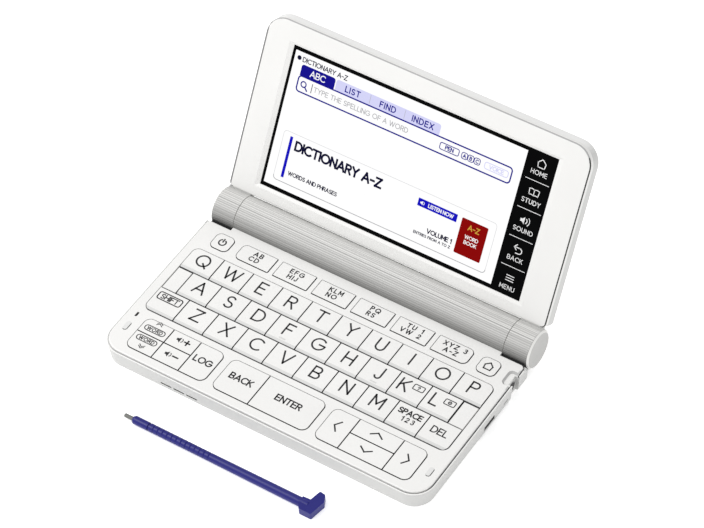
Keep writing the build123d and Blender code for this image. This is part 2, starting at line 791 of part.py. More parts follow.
hinge_pins.part.label = "hinge_pins"
export_step(hinge_pins.part, "parts/hinge_pins.step")


with BuildPart() as case_screws:
    head_z = case_z + head_sink
    for x, y in post_places:
        rod(x, y, screw_head_r, (head_z, head_z + screw_head_h))
        rod(x, y, screw_r, (head_z, ceiling_z - screw_end))
    for side in (-1, 1):
        x, y = side * tube_screw[0], tube_screw[1]
        rod(x, y, screw_head_r, (head_z, head_z + screw_head_h))
        rod(x, y, screw_r, (head_z, axis_z - tube_r + tube_screw_l - screw_end))

case_screws.part.label = "case_screws"
export_step(case_screws.part, "parts/case_screws.step")


with BuildPart() as rubber_pads:
    for y in (front_foot_y, rear_foot_y):
        strip = ((-foot_half, foot_half), (y - foot_d / 2, y + foot_d / 2))
        radius = foot_d / 2 - 3 * foot_play
        plan = round_plan(*strip, (radius, radius), 0, -foot_play)
        extrude(plan, amount=case_z + foot_sink)
    for side in (-1, 1):
        x, y = side * bumper[0], bumper[1]
        pad = ((x - bumper_w / 2, x + bumper_w / 2), (y - bumper_l / 2, y + bumper_l / 2))
        radius = bumper_w / 2 - 2 * bumper_play
        plan = round_plan(*pad, (radius, radius), deck_z - bumper_sink, -bumper_play)
        extrude(plan, amount=bumper_sink + bumper_proud)

rubber_pads.part.label = "rubber_pads"
export_step(rubber_pads.part, "parts/rubber_pads.step")


with BuildPart(lid_plane) as lid_bezel:
    extrude(lid_plan(0, lid_seam), amount=bezel_h)
    lid_normal = Axis(lid_plane.origin, lid_plane.z_dir)
    fillet(lid_bezel.faces().sort_by(lid_normal)[-1].outer_wire().edges(), bezel_edge_r)
    extrude(lid_plan(lid_wall, lid_seam), amount=bezel_h - bezel_t, mode=Mode.SUBTRACT)
    # the window, with a sloped edge that is wider at its sides
    extrude(window_plan(glass_z), amount=bezel_t, mode=Mode.SUBTRACT)
    slope = [
        window_plan(glass_z + window_step),
        window_plan(face_z, window_bevel_side, window_bevel_end),
    ]
    loft(slope, mode=Mode.SUBTRACT)

lid_bezel.part.label = "lid_bezel"
export_step(lid_bezel.part, "parts/lid_bezel.step")


with BuildPart(lid_plane) as lid_back:
    back_h = lid_seam - lid_back_z
    extrude(lid_plan(-lid_flare, lid_back_z), amount=back_h, taper=degrees(atan2(lid_flare, back_h)))
    fillet(lid_back.faces().sort_by(lid_normal)[0].outer_wire().edges(), lid_edge_r)
    extrude(lid_plan(lid_wall, back_z), amount=lid_seam - back_z, mode=Mode.SUBTRACT)
    for side in (-1, 1):
        arm_x = tube_half + knuckle_gap + arm_in
        slot = sorted((side * (arm_x - nest_gap), side * (arm_x + arm_w + nest_gap)))
        block(slot, (lid_low - over_cut, lid_low + lid_wall + over_cut), (back_z, lid_seam), Mode.SUBTRACT)

lid_back.part.label = "lid_back"
export_step(lid_back.part, "parts/lid_back.step")


with BuildPart(lid_plane) as touch_glass:
    extrude(window_plan(lcd_z, glass_margin, glass_margin), amount=glass_t)

touch_glass.part.label = "touch_glass"
export_step(touch_glass.part, "parts/touch_glass.step")


with BuildPart(lid_plane) as lcd_panel:
    block(lcd_x, lcd_y, (lcd_z - lcd_t, lcd_z))

lcd_panel.part.label = "lcd_panel"
export_step(lcd_panel.part, "parts/lcd_panel.step")


with BuildPart(lid_plane) as lid_knuckles:
    inner = tube_half + knuckle_gap
    for side in (-1, 1):
        with Locations((side * (inner + knuckle_end) / 2, 0, 0)):
            Cylinder(tube_r, knuckle_end - inner, rotation=(0, 90, 0))
    rims = lid_knuckles.edges().filter_by(GeomType.CIRCLE).sort_by(Axis.X)
    chamfer([rims[0], rims[-1]], knuckle_bevel)
    for side in (-1, 1):
        with Locations((side * (inner + pin_out / 2), 0, 0)):
            Cylinder(pin_r + pin_play, pin_out, rotation=(0, 90, 0), mode=Mode.SUBTRACT)
        arm = sorted((side * arm_x, side * (arm_x + arm_w)))
        block(arm, (tube_r - arm_root, arm_reach), (back_z, lid_seam - nest_gap))

lid_knuckles.part.label = "lid_knuckles"
export_step(lid_knuckles.part, "parts/lid_knuckles.step")


# The stylus: a turned shaft with a ribbed grip and a flat hooked head, and a thin tip
with BuildPart() as shaft:
    nose_end = tip_l + nose_l
    grip_start = nose_end + neck_l
    outline = [
        (tip_l, 0),
        (tip_l, neck_r),
        (tip_l + nose_bevel, grip_r),
        (nose_end, grip_r),
        (nose_end, neck_r),
        (grip_start, neck_r),
        (grip_start, grip_r),
    ]
    for rib in range(rib_count):
        start = grip_start + (rib + 1) * rib_pitch - rib_w
        outline += [
            (start, grip_r),
            (start + rib_w / 2, grip_r - rib_depth),
            (start + rib_w, grip_r),
        ]
    outline += [(shaft_l, stylus_r), (shaft_l, 0)]
    stylus_plane = Plane(
        origin=(stylus_tip_x, stylus_y, stylus_r), x_dir=(1, 0, 0), z_dir=(0, -1, 0)
    )
    with BuildSketch(stylus_plane):
        with BuildLine():
            Polyline(*outline, close=True)
        make_face()
    revolve(axis=Axis((0, stylus_y, stylus_r), (1, 0, 0)))
    # the head, flat on both sides, with a bulge to the front and a hook to the back
    head = [
        (shaft_l - head_back, -grip_r),
        (shaft_l - head_back / 2, -bulge),
        (shaft_l + head_out - bulge_in, -bulge),
        (shaft_l + head_out, hook / 2),
        (shaft_l + head_out - hook_in, hook - hook_cut),
        (shaft_l + hook_side, hook),
        (shaft_l + hook_side - hook_lean, stylus_r),
        (shaft_l - head_back, grip_r),
    ]
    with BuildSketch(Plane((stylus_tip_x, stylus_y, stylus_r - head_t / 2))) as head_plan:
        with BuildLine():
            Polyline(*head, close=True)
        make_face()
        fillet(head_plan.vertices().sort_by(Axis.Y)[:2], head_r)
        fillet(head_plan.vertices().sort_by(Axis.Y)[-3:], head_r)
    extrude(amount=head_t)
    # the tip stands in a hole in the nose
    with Locations(Plane(origin=(stylus_tip_x + tip_l + tip_root / 2, stylus_y, stylus_r),
                         z_dir=(1, 0, 0))):
        Cylinder(tip_r, tip_root, mode=Mode.SUBTRACT)

with BuildPart(Plane(origin=(stylus_tip_x, stylus_y, stylus_r), z_dir=(1, 0, 0))) as tip:
    with Locations((0, 0, (tip_l + tip_root) / 2)):
        Cylinder(tip_r, tip_l + tip_root)
    fillet(tip.edges().filter_by(GeomType.CIRCLE).sort_by(Axis.X)[0], tip_round)

stylus = Compound(label="stylus", children=[shaft.part, tip.part])
export_step(stylus, "parts/stylus.step")
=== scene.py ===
import json
from math import asin, atan2, cos, degrees, hypot, pi, radians, sin

import bmesh
import bpy
from mathutils import Matrix, Vector


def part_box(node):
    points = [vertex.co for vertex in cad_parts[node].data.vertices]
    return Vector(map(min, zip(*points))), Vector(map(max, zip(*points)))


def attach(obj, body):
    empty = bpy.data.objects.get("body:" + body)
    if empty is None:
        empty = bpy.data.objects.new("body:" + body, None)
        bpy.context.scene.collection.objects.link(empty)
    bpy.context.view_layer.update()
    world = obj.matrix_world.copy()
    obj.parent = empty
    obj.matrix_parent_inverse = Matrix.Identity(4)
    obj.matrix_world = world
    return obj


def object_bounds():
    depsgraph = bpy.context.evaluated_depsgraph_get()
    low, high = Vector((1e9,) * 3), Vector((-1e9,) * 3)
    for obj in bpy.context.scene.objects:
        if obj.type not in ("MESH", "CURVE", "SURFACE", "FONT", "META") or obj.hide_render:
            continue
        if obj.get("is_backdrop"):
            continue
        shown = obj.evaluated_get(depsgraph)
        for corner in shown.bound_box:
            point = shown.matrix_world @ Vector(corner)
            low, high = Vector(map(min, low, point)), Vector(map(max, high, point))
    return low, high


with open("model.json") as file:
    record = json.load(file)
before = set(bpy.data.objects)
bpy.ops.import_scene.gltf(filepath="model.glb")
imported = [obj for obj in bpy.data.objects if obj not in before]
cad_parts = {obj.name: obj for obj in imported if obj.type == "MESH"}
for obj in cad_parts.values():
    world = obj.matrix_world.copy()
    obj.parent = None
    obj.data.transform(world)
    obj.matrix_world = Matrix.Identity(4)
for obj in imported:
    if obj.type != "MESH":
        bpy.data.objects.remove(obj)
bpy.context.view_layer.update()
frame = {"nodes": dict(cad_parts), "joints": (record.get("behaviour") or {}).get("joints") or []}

MM = 0.001
nodes = frame["nodes"]
hinge = next(joint for joint in frame["joints"] if joint["name"] == "lid_hinge")
AXIS = Vector(hinge["pos_m"])
OPEN = radians(-hinge["range_deg"][0])
LID_UP = Vector((0, -cos(OPEN), sin(OPEN)))  # along the lid, away from the hinge
LID_OUT = Vector((0, -sin(OPEN), -cos(OPEN)))  # out of the screen, to the user

INK_LIFT = 0.02 * MM  # printed marks and painted shadow sheets lie this far over their surface
DECK_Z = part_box("key_q")[1].z
CAPS = [name for name in nodes if name.startswith("key_") or name.endswith(("_key", "_keys"))]
CAPS.remove("key_sheet")


# ---------------------------------------------------------------- flat marks, in mm

def arc(x, y, rx, ry, start, end):
    """Points on an ellipse from one angle to another, in degrees."""
    count = max(3, int(abs(end - start) / 12) + 1)
    angles = [radians(start + (end - start) * n / (count - 1)) for n in range(count)]
    return [(x + rx * cos(a), y + ry * sin(a)) for a in angles]


def round_box(x0, x1, y0, y1, r):
    """The outline of a rounded rectangle, closed."""
    points = []
    corners = (x1 - r, y1 - r), (x0 + r, y1 - r), (x0 + r, y0 + r), (x1 - r, y0 + r)
    for quarter, (x, y) in enumerate(corners):
        points += arc(x, y, r, r, 90 * quarter, 90 * (quarter + 1))
    return points + points[:1]


def plain_box(x0, x1, y0, y1):
    return [(x0, y0), (x1, y0), (x1, y1), (x0, y1)]


def line(points, width):
    """Quads along a line of one width. A sharp bend starts a new run, which overlaps the last."""
    closed = hypot(points[0][0] - points[-1][0], points[0][1] - points[-1][1]) < 1e-6
    runs, run = [], [points[0]]
    for before, here, after in zip(points, points[1:], points[2:]):
        run.append(here)
        turn = atan2(after[1] - here[1], after[0] - here[0]) - atan2(here[1] - before[1], here[0] - before[0])
        if abs((degrees(turn) + 180) % 360 - 180) > 50:
            runs.append(run)
            run = [here]
    runs.append(run + [points[-1]])
    quads = []
    for run in runs:
        whole = closed and len(runs) == 1
        sides = []
        for n, (x, y) in enumerate(run):
            before = run[n - 1] if n else (run[-2] if whole else run[0])
            after = run[n + 1] if n + 1 < len(run) else (run[1] if whole else run[-1])
            dx, dy = after[0] - before[0], after[1] - before[1]
            size = hypot(dx, dy)
            dx, dy = dx / size, dy / size
            if not whole and n in (0, len(run) - 1):  # square ends, half a width longer
                step = -width / 2 if n == 0 else width / 2
                x, y = x + dx * step, y + dy * step
            sides.append(((x - dy * width / 2, y + dx * width / 2), (x + dy * width / 2, y - dx * width / 2)))
        for (a, b), (c, d) in zip(sides, sides[1:]):
            quads.append([b, d, c, a])
    return quads


BOWL = arc(0.36, 0.75, 0.24, 0.25, 90, -90)
GLYPHS = {  # strokes of plain capitals, one unit high
    "A": [[(0, 0), (0.42, 1), (0.84, 0)], [(0.13, 0.32), (0.71, 0.32)]],
    "B": [[(0.36, 0.5), (0, 0.5), (0, 1), *BOWL], [(0, 0.5), (0, 0), *arc(0.38, 0.25, 0.27, 0.25, -90, 90)]],
    "C": [arc(0.5, 0.5, 0.5, 0.5, 48, 312)],
    "D": [[(0, 0), (0, 1), *arc(0.3, 0.5, 0.48, 0.5, 90, -90), (0, 0)]],
    "E": [[(0.56, 1), (0, 1), (0, 0), (0.58, 0)], [(0, 0.52), (0.5, 0.52)]],
    "F": [[(0.55, 1), (0, 1), (0, 0)], [(0, 0.52), (0.48, 0.52)]],
    "G": [[*arc(0.5, 0.5, 0.5, 0.5, 48, 345), (0.98, 0.48), (0.56, 0.48)]],
    "H": [[(0, 0), (0, 1)], [(0.7, 0), (0.7, 1)], [(0, 0.5), (0.7, 0.5)]],
    "I": [[(0, 0), (0, 1)]],
    "J": [[(0.42, 1), *arc(0.2, 0.24, 0.22, 0.24, 0, -160)]],
    "K": [[(0, 0), (0, 1)], [(0.62, 1), (0, 0.4)], [(0.2, 0.6), (0.66, 0)]],
    "L": [[(0, 1), (0, 0), (0.52, 0)]],
    "M": [[(0, 0), (0.02, 1), (0.42, 0.3), (0.82, 1), (0.84, 0)]],
    "N": [[(0, 0), (0, 1), (0.7, 0), (0.7, 1)]],
    "O": [arc(0.5, 0.5, 0.5, 0.5, 0, 360)],
    "P": [[(0, 0), (0, 1), *BOWL, (0, 0.5)]],
    "Q": [arc(0.5, 0.5, 0.5, 0.5, 0, 360), [(0.6, 0.28), (0.94, -0.06)]],
    "R": [[(0, 0), (0, 1), *BOWL, (0, 0.5)], [(0.3, 0.5), (0.62, 0)]],
    "S": [[*arc(0.31, 0.75, 0.27, 0.25, 35, 270), *arc(0.31, 0.25, 0.29, 0.25, 80, -145)]],
    "T": [[(0, 1), (0.72, 1)], [(0.36, 1), (0.36, 0)]],
    "U": [[(0, 1), *arc(0.34, 0.34, 0.34, 0.34, 180, 360), (0.68, 1)]],
    "V": [[(0, 1), (0.41, 0), (0.82, 1)]],
    "W": [[(0, 1), (0.3, 0), (0.6, 0.95), (0.9, 0), (1.2, 1)]],
    "X": [[(0, 0), (0.72, 1)], [(0, 1), (0.72, 0)]],
    "Y": [[(0, 1), (0.37, 0.5), (0.74, 1)], [(0.37, 0.5), (0.37, 0)]],
    "Z": [[(0.03, 1), (0.7, 1), (0, 0), (0.72, 0)]],
    "1": [[(0, 0.8), (0.24, 1), (0.24, 0)]],
    "2": [[*arc(0.28, 0.72, 0.26, 0.28, 165, -35), (0, 0), (0.56, 0)]],
    "3": [arc(0.26, 0.76, 0.24, 0.24, 150, -85), arc(0.26, 0.27, 0.27, 0.27, 85, -150)],
    "-": [[(0, 0.46), (0.4, 0.46)]],
}
GLYPH_GAP = 0.24
SPACE = 0.42


def words(text, x, y, height, weight, align=0.5, spread=1.0):
    """Quads of a line of capitals, y being its middle and x its left, middle or right by align."""
    glyphs, at = [], 0.0
    for letter in text:
        if letter == " ":
            at += SPACE * spread
            continue
        strokes = GLYPHS[letter]
        glyphs.append((at, strokes))
        at += max(px for stroke in strokes for px, _ in stroke) + GLYPH_GAP * spread
    left = x - (at - GLYPH_GAP * spread) * height * align
    quads = []
    for start, strokes in glyphs:
        for stroke in strokes:
            placed = [(left + (start + px) * height, y + (py - 0.5) * height) for px, py in stroke]
            quads += line(placed, weight)
    return quads


def on_deck(x, y, lift=0.0):
    """A point over the deck; x and y in mm in the CAD frame."""
    return Vector((x * MM, y * MM, DECK_Z + INK_LIFT + lift))


def carry(name, mesh, material, body):
    """Makes a piece of a mesh, carried by a body of the frame."""
    piece = bpy.data.objects.new(name, mesh)
    bpy.context.scene.collection.objects.link(piece)
    mesh.materials.append(material)
    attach(piece, body)
    return piece


def flat_mesh(name, polygons, place, material, body, lift=0.0):
    """One sheet of flat polygons, carried by a body."""
    mesh = bpy.data.meshes.new(name)
    form = bmesh.new()
    for polygon in polygons:
        if hypot(polygon[0][0] - polygon[-1][0], polygon[0][1] - polygon[-1][1]) < 1e-6:
            polygon = polygon[:-1]
        form.faces.new([form.verts.new(place(x, y, lift)) for x, y in polygon])
    bmesh.ops.remove_doubles(form, verts=form.verts, dist=1e-7)
    form.to_mesh(mesh)
    form.free()
    return carry(name, mesh, material, body)


# ---------------------------------------------------------------- materials

class Shader:
    """A principled material with its nodes at hand."""

    def __init__(self, name, roughness, **constants):
        self.material = bpy.data.materials.new(name)
        self.material.use_nodes = True
        self.tree = self.material.node_tree
        self.base = self.tree.nodes["Principled BSDF"]
        self.base.inputs["Roughness"].default_value = roughness
        for key, value in constants.items():
            self.base.inputs[key.replace("_", " ")].default_value = value
        self.place = self.add("ShaderNodeTexCoord").outputs["Object"]

    def add(self, kind, **settings):
        node = self.tree.nodes.new(kind)
        for key, value in settings.items():
            setattr(node, key, value)
        return node

    def join(self, a, b):
        self.tree.links.new(a, b)

    def math(self, operation, a, b=0.0):
        node = self.add("ShaderNodeMath", operation=operation)
        for socket, value in zip(node.inputs, (a, b)):
            if isinstance(value, (int, float)):
                socket.default_value = value
            else:
                self.join(value, socket)
        return node.outputs[0]

    def noise(self, scale, detail=3.0, stretch=(1, 1, 1)):
        mapping = self.add("ShaderNodeMapping")
        mapping.inputs["Scale"].default_value = stretch
        self.join(self.place, mapping.inputs["Vector"])
        node = self.add("ShaderNodeTexNoise")
        node.inputs["Scale"].default_value = scale
        node.inputs["Detail"].default_value = detail
        self.join(mapping.outputs[0], node.inputs["Vector"])
        return node.outputs["Fac"]

    def ramp(self, value, *stops):
        node = self.add("ShaderNodeValToRGB")
        band = node.color_ramp
        band.elements[0].position, band.elements[1].position = stops[0][0], stops[-1][0]
        for place, colour in stops[1:-1]:
            band.elements.new(place)
        for element, (place, colour) in zip(band.elements, stops):
            element.color = (*colour, 1)
        self.join(value, node.inputs["Fac"])
        return node.outputs["Color"]

    def mix(self, factor, a, b):
        node = self.add("ShaderNodeMix", data_type="RGBA")
        for socket, value in zip((node.inputs[0], node.inputs[6], node.inputs[7]), (factor, a, b)):
            if isinstance(value, tuple):
                socket.default_value = (*value, 1)
            elif isinstance(value, float):
                socket.default_value = value
            else:
                self.join(value, socket)
        return node.outputs[2]

    def multiply(self, a, b):
        node = self.add("ShaderNodeMix", data_type="RGBA", blend_type="MULTIPLY")
        node.inputs[0].default_value = 1.0
        self.join(a, node.inputs[6])
        self.join(b, node.inputs[7])
        return node.outputs[2]

    def colour(self, socket):
        self.join(socket, self.base.inputs["Base Color"])

    def rough(self, value, low, high):
        node = self.add("ShaderNodeMapRange")
        node.inputs["To Min"].default_value = low
        node.inputs["To Max"].default_value = high
        self.join(value, node.inputs["Value"])
        self.join(node.outputs[0], self.base.inputs["Roughness"])

    def bump(self, height, depth_mm, strength=1.0):
        node = self.add("ShaderNodeBump")
        node.inputs["Distance"].default_value = depth_mm * MM
        node.inputs["Strength"].default_value = strength
        self.join(height, node.inputs["Height"])
        self.join(node.outputs[0], self.base.inputs["Normal"])


def shade(colour, factor):
    return tuple(c * factor for c in colour)


def grey(value):
    return (value, value, value)


def moulded(name, colour, roughness=0.42, grain=5200, depth=0.004, **constants):
    """Moulded plastic: fine satin grain, faint clouding and a roughness that wanders."""
    shader = Shader(name, roughness, **constants)
    cloud = shader.noise(38, 4)
    fine = shader.noise(grain, 2)
    shader.colour(shader.ramp(cloud, (0.35, shade(colour, 0.975)), (0.65, colour)))
    shader.rough(cloud, roughness - 0.05, roughness + 0.06)
    shader.bump(fine, depth)
    return shader


def repaint(shader, mask, colour):
    """Lays another colour over the present one where the mask is 1."""
    was = shader.base.inputs["Base Color"].links[0].from_socket
    shader.colour(shader.mix(mask, was, colour))


def over(shader, value, low):
    return shader.math("GREATER_THAN", value, low)


def under(shader, value, high):
    return shader.math("LESS_THAN", value, high)


def both(shader, *masks):
    """1 where all the masks are 1."""
    whole = masks[0]
    for mask in masks[1:]:
        whole = shader.math("MULTIPLY", whole, mask)
    return whole


def between(shader, value, low, high):
    """1 where a value lies between two limits."""
    return both(shader, over(shader, value, low), under(shader, value, high))


def split(shader, vector):
    node = shader.add("ShaderNodeSeparateXYZ")
    shader.join(vector, node.inputs[0])
    return node.outputs


def normals(shader):
    return split(shader, shader.add("ShaderNodeNewGeometry").outputs["True Normal"])


def upright(shader):
    """1 on the faces that stand up."""
    return under(shader, shader.math("ABSOLUTE", normals(shader)[2]), 0.35)


def from_axis(shader, y, z):
    """How far a point lies from the hinge axis."""
    squares = [shader.math("MULTIPLY", side, side) for side in (y, z)]
    return shader.math("SQRT", shader.math("ADD", *squares))


WHITE = (0.84, 0.835, 0.82)
LID_WHITE = (0.79, 0.785, 0.77)
# the lower case's grey: painted shade on its walls, darker than the white plastic
CASING_SHADED = (0.55, 0.55, 0.54)
SILVER = (0.74, 0.735, 0.715)
NAVY = (0.013, 0.013, 0.175)
# painted shade: the dark down the caps' sides, and the grey on the walls of the deck's openings
GAP = (0.030, 0.030, 0.033)
OPENING_WALL_SHADE = (0.60, 0.60, 0.60)
INK = (0.010, 0.010, 0.012)


def span(shader, value, low, high, to_low=0.0, to_high=1.0):
    """A value carried from one range to another, and held at its ends."""
    node = shader.add("ShaderNodeMapRange")
    for key, number in (("From Min", low), ("From Max", high), ("To Min", to_low), ("To Max", to_high)):
        node.inputs[key].default_value = number
    shader.join(value, node.inputs["Value"])
    return node.outputs[0]


def deck_material():
    """White plastic with painted shade: the walls of its openings, of the stylus scoop and of its outer edge
    are painted darker.
    """
    shader = moulded("deck_plastic", WHITE)
    x, y, _ = split(shader, shader.place)
    across = shader.math("ABSOLUTE", x)
    low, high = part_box("top_cover")
    wall = upright(shader)
    inner = both(shader, under(shader, across, high.x - MOUTH_EDGE), over(shader, y, low.y + DECK_EDGE))
    # painted shade on the walls of the openings
    repaint(shader, both(shader, wall, inner), OPENING_WALL_SHADE)
    tilt = normals(shader)
    scoop = [between(shader, value, *limits) for value, limits in zip((tilt[2], x, y), SCOOP)]
    # painted shade on the walls of the stylus scoop
    repaint(shader, both(shader, *scoop), SCOOP_SHADE)
    # painted shade on the outer wall, darker where it faces right
    side = span(shader, tilt[0], 0.3, 0.9)
    outer = shader.math("MAXIMUM", under(shader, y, low.y + EDGE_IN), over(shader, across, high.x - EDGE_IN))
    edge = shader.mix(side, EDGE_FRONT_SHADE, EDGE_RIGHT_SHADE)
    was = shader.base.inputs["Base Color"].links[0].from_socket
    shader.colour(shader.mix(both(shader, outer, wall), was, edge))
    return shader


def casing_material():
    """The lower case, its walls painted grey for shade: a white lip round the top cover as a painted
    highlight, the rim's inner wall at the left painted light, ports and slits with walls painted dark for
    shade, and black painted in the gap under the knuckles for shade."""
    shader = moulded("casing_plastic", CASING_SHADED, 0.45)
    x, y, z = split(shader, shader.place)
    # painted highlight: the lip round the top cover is painted white
    repaint(shader, both(shader, over(shader, z, RIM_TOP - LIP), under(shader, y, LIP_END)), WHITE)
    # painted light: the rim's inner wall at the left is painted pale
    inward = over(shader, normals(shader)[0], 0.2)
    left = both(shader, under(shader, x, -72 * MM), over(shader, z, 8.1 * MM), inward)
    repaint(shader, left, LEFT_RIM_LIT)
    # painted shade in the ports and the slits
    for limits, tone in ((PORTS, 0.16), (SLITS, 0.03)):
        within = [between(shader, *pair) for pair in zip((x, y, z), *limits)]
        repaint(shader, both(shader, *within), grey(tone))
    # painted shadow: black in the gap under the knuckles
    radius = from_axis(shader, shader.math("SUBTRACT", y, AXIS.y), shader.math("SUBTRACT", z, AXIS.z))
    repaint(shader, under(shader, radius, TUBE_R + 0.6 * MM), grey(0.008))
    return shader


def cap_material():
    """White keycaps with painted shade: a darker sloped front, dark down their sides and along the foot of
    the sloped front.
    """
    shader = moulded("keycap_plastic", WHITE, 0.38, 6500, 0.003)
    # painted shade on the sloped fronts
    repaint(shader, under(shader, normals(shader)[1], -0.2), CAP_SLOPE_SHADE)
    # painted shade down the sides and along the foot of the slope
    foot = under(shader, split(shader, shader.place)[2], DECK_Z - FOOT_DOWN)
    repaint(shader, shader.math("MAXIMUM", upright(shader), foot), GAP)
    return shader


def lid_place(shader):
    """How far a point of the lid lies out of the plane of the hinge axis, towards the user."""
    offset = shader.add("ShaderNodeVectorMath", operation="SUBTRACT")
    offset.inputs[1].default_value = AXIS
    shader.join(shader.place, offset.inputs[0])
    along = shader.add("ShaderNodeVectorMath", operation="DOT_PRODUCT")
    along.inputs[1].default_value = LID_OUT
    shader.join(offset.outputs[0], along.inputs[0])
    return along.outputs["Value"]


def lid_material():
    """White plastic with a painted shadow line round its edge for the shade of a seam, dark at the sides and
    faint on top.
    """
    shader = moulded("lid_face_plastic", LID_WHITE, 0.40)
    out = lid_place(shader)
    face = max((Vector(v.co) - AXIS).dot(LID_OUT) for v in nodes["lid_bezel"].data.vertices)
    # painted shade: a line round the edge, in from the face
    seam_shade_mask = between(shader, out, face - LID_SEAM_SHADE[1], face - LID_SEAM_SHADE[0])
    x, _, z = split(shader, shader.place)
    low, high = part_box("lid_bezel")
    top = over(shader, z, high.z - LID_TOP)
    repaint(shader, both(shader, seam_shade_mask, top), grey(0.38))
    side = over(shader, shader.math("ABSOLUTE", x), high.x - 2 * MM)
    repaint(shader, both(shader, seam_shade_mask, side, under(shader, z, high.z - 3 * MM)), grey(0.012))
    # painted shade: a dark line along the left edge of the face
    left = both(shader, under(shader, x, low.x + 1.0 * MM), over(shader, out, face - 0.5 * MM))
    repaint(shader, left, grey(0.17))
    return shader


def lid_shell_material():
    """The lid's back cover: its walls painted grey for shade, its top wall painted lighter for light."""
    shader = moulded("lid_back_plastic", LID_SHELL_SHADED, 0.45)
    z = split(shader, shader.place)[2]
    x_share = shader.math("ABSOLUTE", normals(shader)[0])
    top = over(shader, z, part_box("lid_back")[1].z - LID_TOP)
    # painted light on the top wall, fading where it faces sideways
    repaint(shader, both(shader, top, span(shader, x_share, 0.75, 0.35)), LID_SHELL_LIT_TOP)
    return shader


# the lid's back cover: the walls' grey is painted shade, the top wall's lighter grey is painted light
LID_SHELL_SHADED, LID_SHELL_LIT_TOP = (0.62, 0.62, 0.61), (0.80, 0.80, 0.79)
LID_TOP = 5 * MM  # how far down the lid's upper wall is looked for
DECK_EDGE = 2.6 * MM
MOUTH_EDGE = 5.2 * MM  # the stylus notch and its scoop lie outside this and stay white
# painted shade on the deck's outer wall, at the front and at the right
EDGE_FRONT_SHADE, EDGE_RIGHT_SHADE = (0.74, 0.74, 0.735), (0.60, 0.60, 0.595)
EDGE_IN = 0.6 * MM
# painted shade on the caps' sloped fronts
CAP_SLOPE_SHADE = (0.64, 0.64, 0.63)
SCOOP_SHADE = (0.48, 0.48, 0.475)
SCOOP = ((0.2, 0.97), (69 * MM, 73.9 * MM), (54 * MM, 65 * MM))  # upward share of the normal, x and y
FOOT_DOWN = 0.36 * MM
# the rim's lip is painted white as a painted highlight, this far down and up to this y
RIM_TOP, LIP, LIP_END = 9.0 * MM, 0.2 * MM, 66 * MM
# painted light on the rim's inner wall at the left
LEFT_RIM_LIT = (0.95, 0.95, 0.94)
CASE_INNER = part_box("top_cover")[1].x + 0.05 * MM
PORTS = ((70 * MM, 34 * MM, -1.0), (CASE_INNER, 56 * MM, 5 * MM))  # low and high corner
SLITS = ((-47 * MM, -7.2 * MM, 2.5 * MM), (-27 * MM, -4 * MM, 3.5 * MM))
# where the painted seam shade runs, in from the lid's face
LID_SEAM_SHADE = (0.08 * MM, 0.52 * MM)
TUBE_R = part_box("battery_tube")[1].z - AXIS.z

deck = deck_material()
sleeve_grey = moulded("sleeve_plastic", (0.22, 0.22, 0.22), 0.5, 3000, 0.01)
keycap = cap_material()
casing = casing_material()
lid_shell = lid_shell_material()
lid_face = lid_material()
black = moulded("black_plastic", (0.02, 0.02, 0.022), 0.5, 3000, 0.01)
rubber = moulded("soft_rubber", (0.74, 0.74, 0.73), 0.7, 2500, 0.012)
dark_rubber = moulded("key_sheet_rubber", (0.05, 0.05, 0.055), 0.8, 2500, 0.012)
board = moulded("solder_mask", (0.01, 0.10, 0.045), 0.35, 900, 0.01)
steel = moulded("plain_steel", (0.55, 0.55, 0.55), 0.3, 4000, 0.004, Metallic=1.0)


def barrel_material():
    """Silver-grey plastic: painted shade between the fine ribs, found from their distance to the hinge
    axis, with streaks along it, a painted light and shade that falls off towards the deck, and painted shade
    on the flat ends."""
    shader = moulded("barrel_plastic", SILVER, 0.34, 4200, 0.003)
    place = split(shader, shader.place)
    y = shader.math("SUBTRACT", place[1], AXIS.y)
    z = shader.math("SUBTRACT", place[2], AXIS.z)
    radius = from_axis(shader, y, z)
    crest = span(shader, radius, TUBE_R, TUBE_R + RIB_H)
    ends = under(shader, radius, TUBE_R - RIB_SINK * 1.5)
    streak = shader.noise(1500, 1, (0.002, 1, 1))
    turn = shader.math("DIVIDE", shader.math("ARCTAN2", shader.math("MULTIPLY", y, -1.0), z), pi)
    # painted light and shade by the turn round the axis: a dark and a bright line near the top as a painted
    # highlight on the ribs, darker towards the front, near black towards the deck as painted shadow in the
    # gap there
    painted_light_by_turn = shader.ramp(turn, (0.0, grey(1.0)), (0.085, grey(1.0)), (0.09, grey(0.66)), (0.10, grey(0.66)),
                       (0.105, grey(1.05)), (0.125, grey(1.05)), (0.13, grey(0.86)), (0.24, grey(0.74)),
                       (0.36, grey(0.58)), (0.44, grey(0.40)), (0.50, grey(0.22)), (0.60, grey(0.30)),
                       (0.75, grey(0.6)), (1.0, grey(1.0)))
    # painted shade in the grooves between the ribs
    grooves = shader.ramp(crest, (0.0, shade(SILVER, 0.66)), (0.8, SILVER))
    streaks = shader.ramp(streak, (0.35, grey(0.78)), (0.65, grey(1.0)))
    bands = shader.ramp(shader.noise(420, 1, (0.002, 1, 1)), (0.35, grey(0.88)), (0.65, grey(1.0)))
    tone = shader.multiply(shader.multiply(shader.multiply(grooves, streaks), bands), painted_light_by_turn)
    # painted shade on the flat ends, with a lighter ring at their rim as a painted highlight
    caps = shader.ramp(span(shader, radius, TUBE_R - 1.0 * MM, TUBE_R), (0.0, shade(SILVER, 0.60)),
                       (0.15, shade(SILVER, 0.56)), (0.25, shade(SILVER, 1.1)), (0.9, shade(SILVER, 1.1)))
    shader.colour(shader.mix(ends, tone, caps))
    return shader


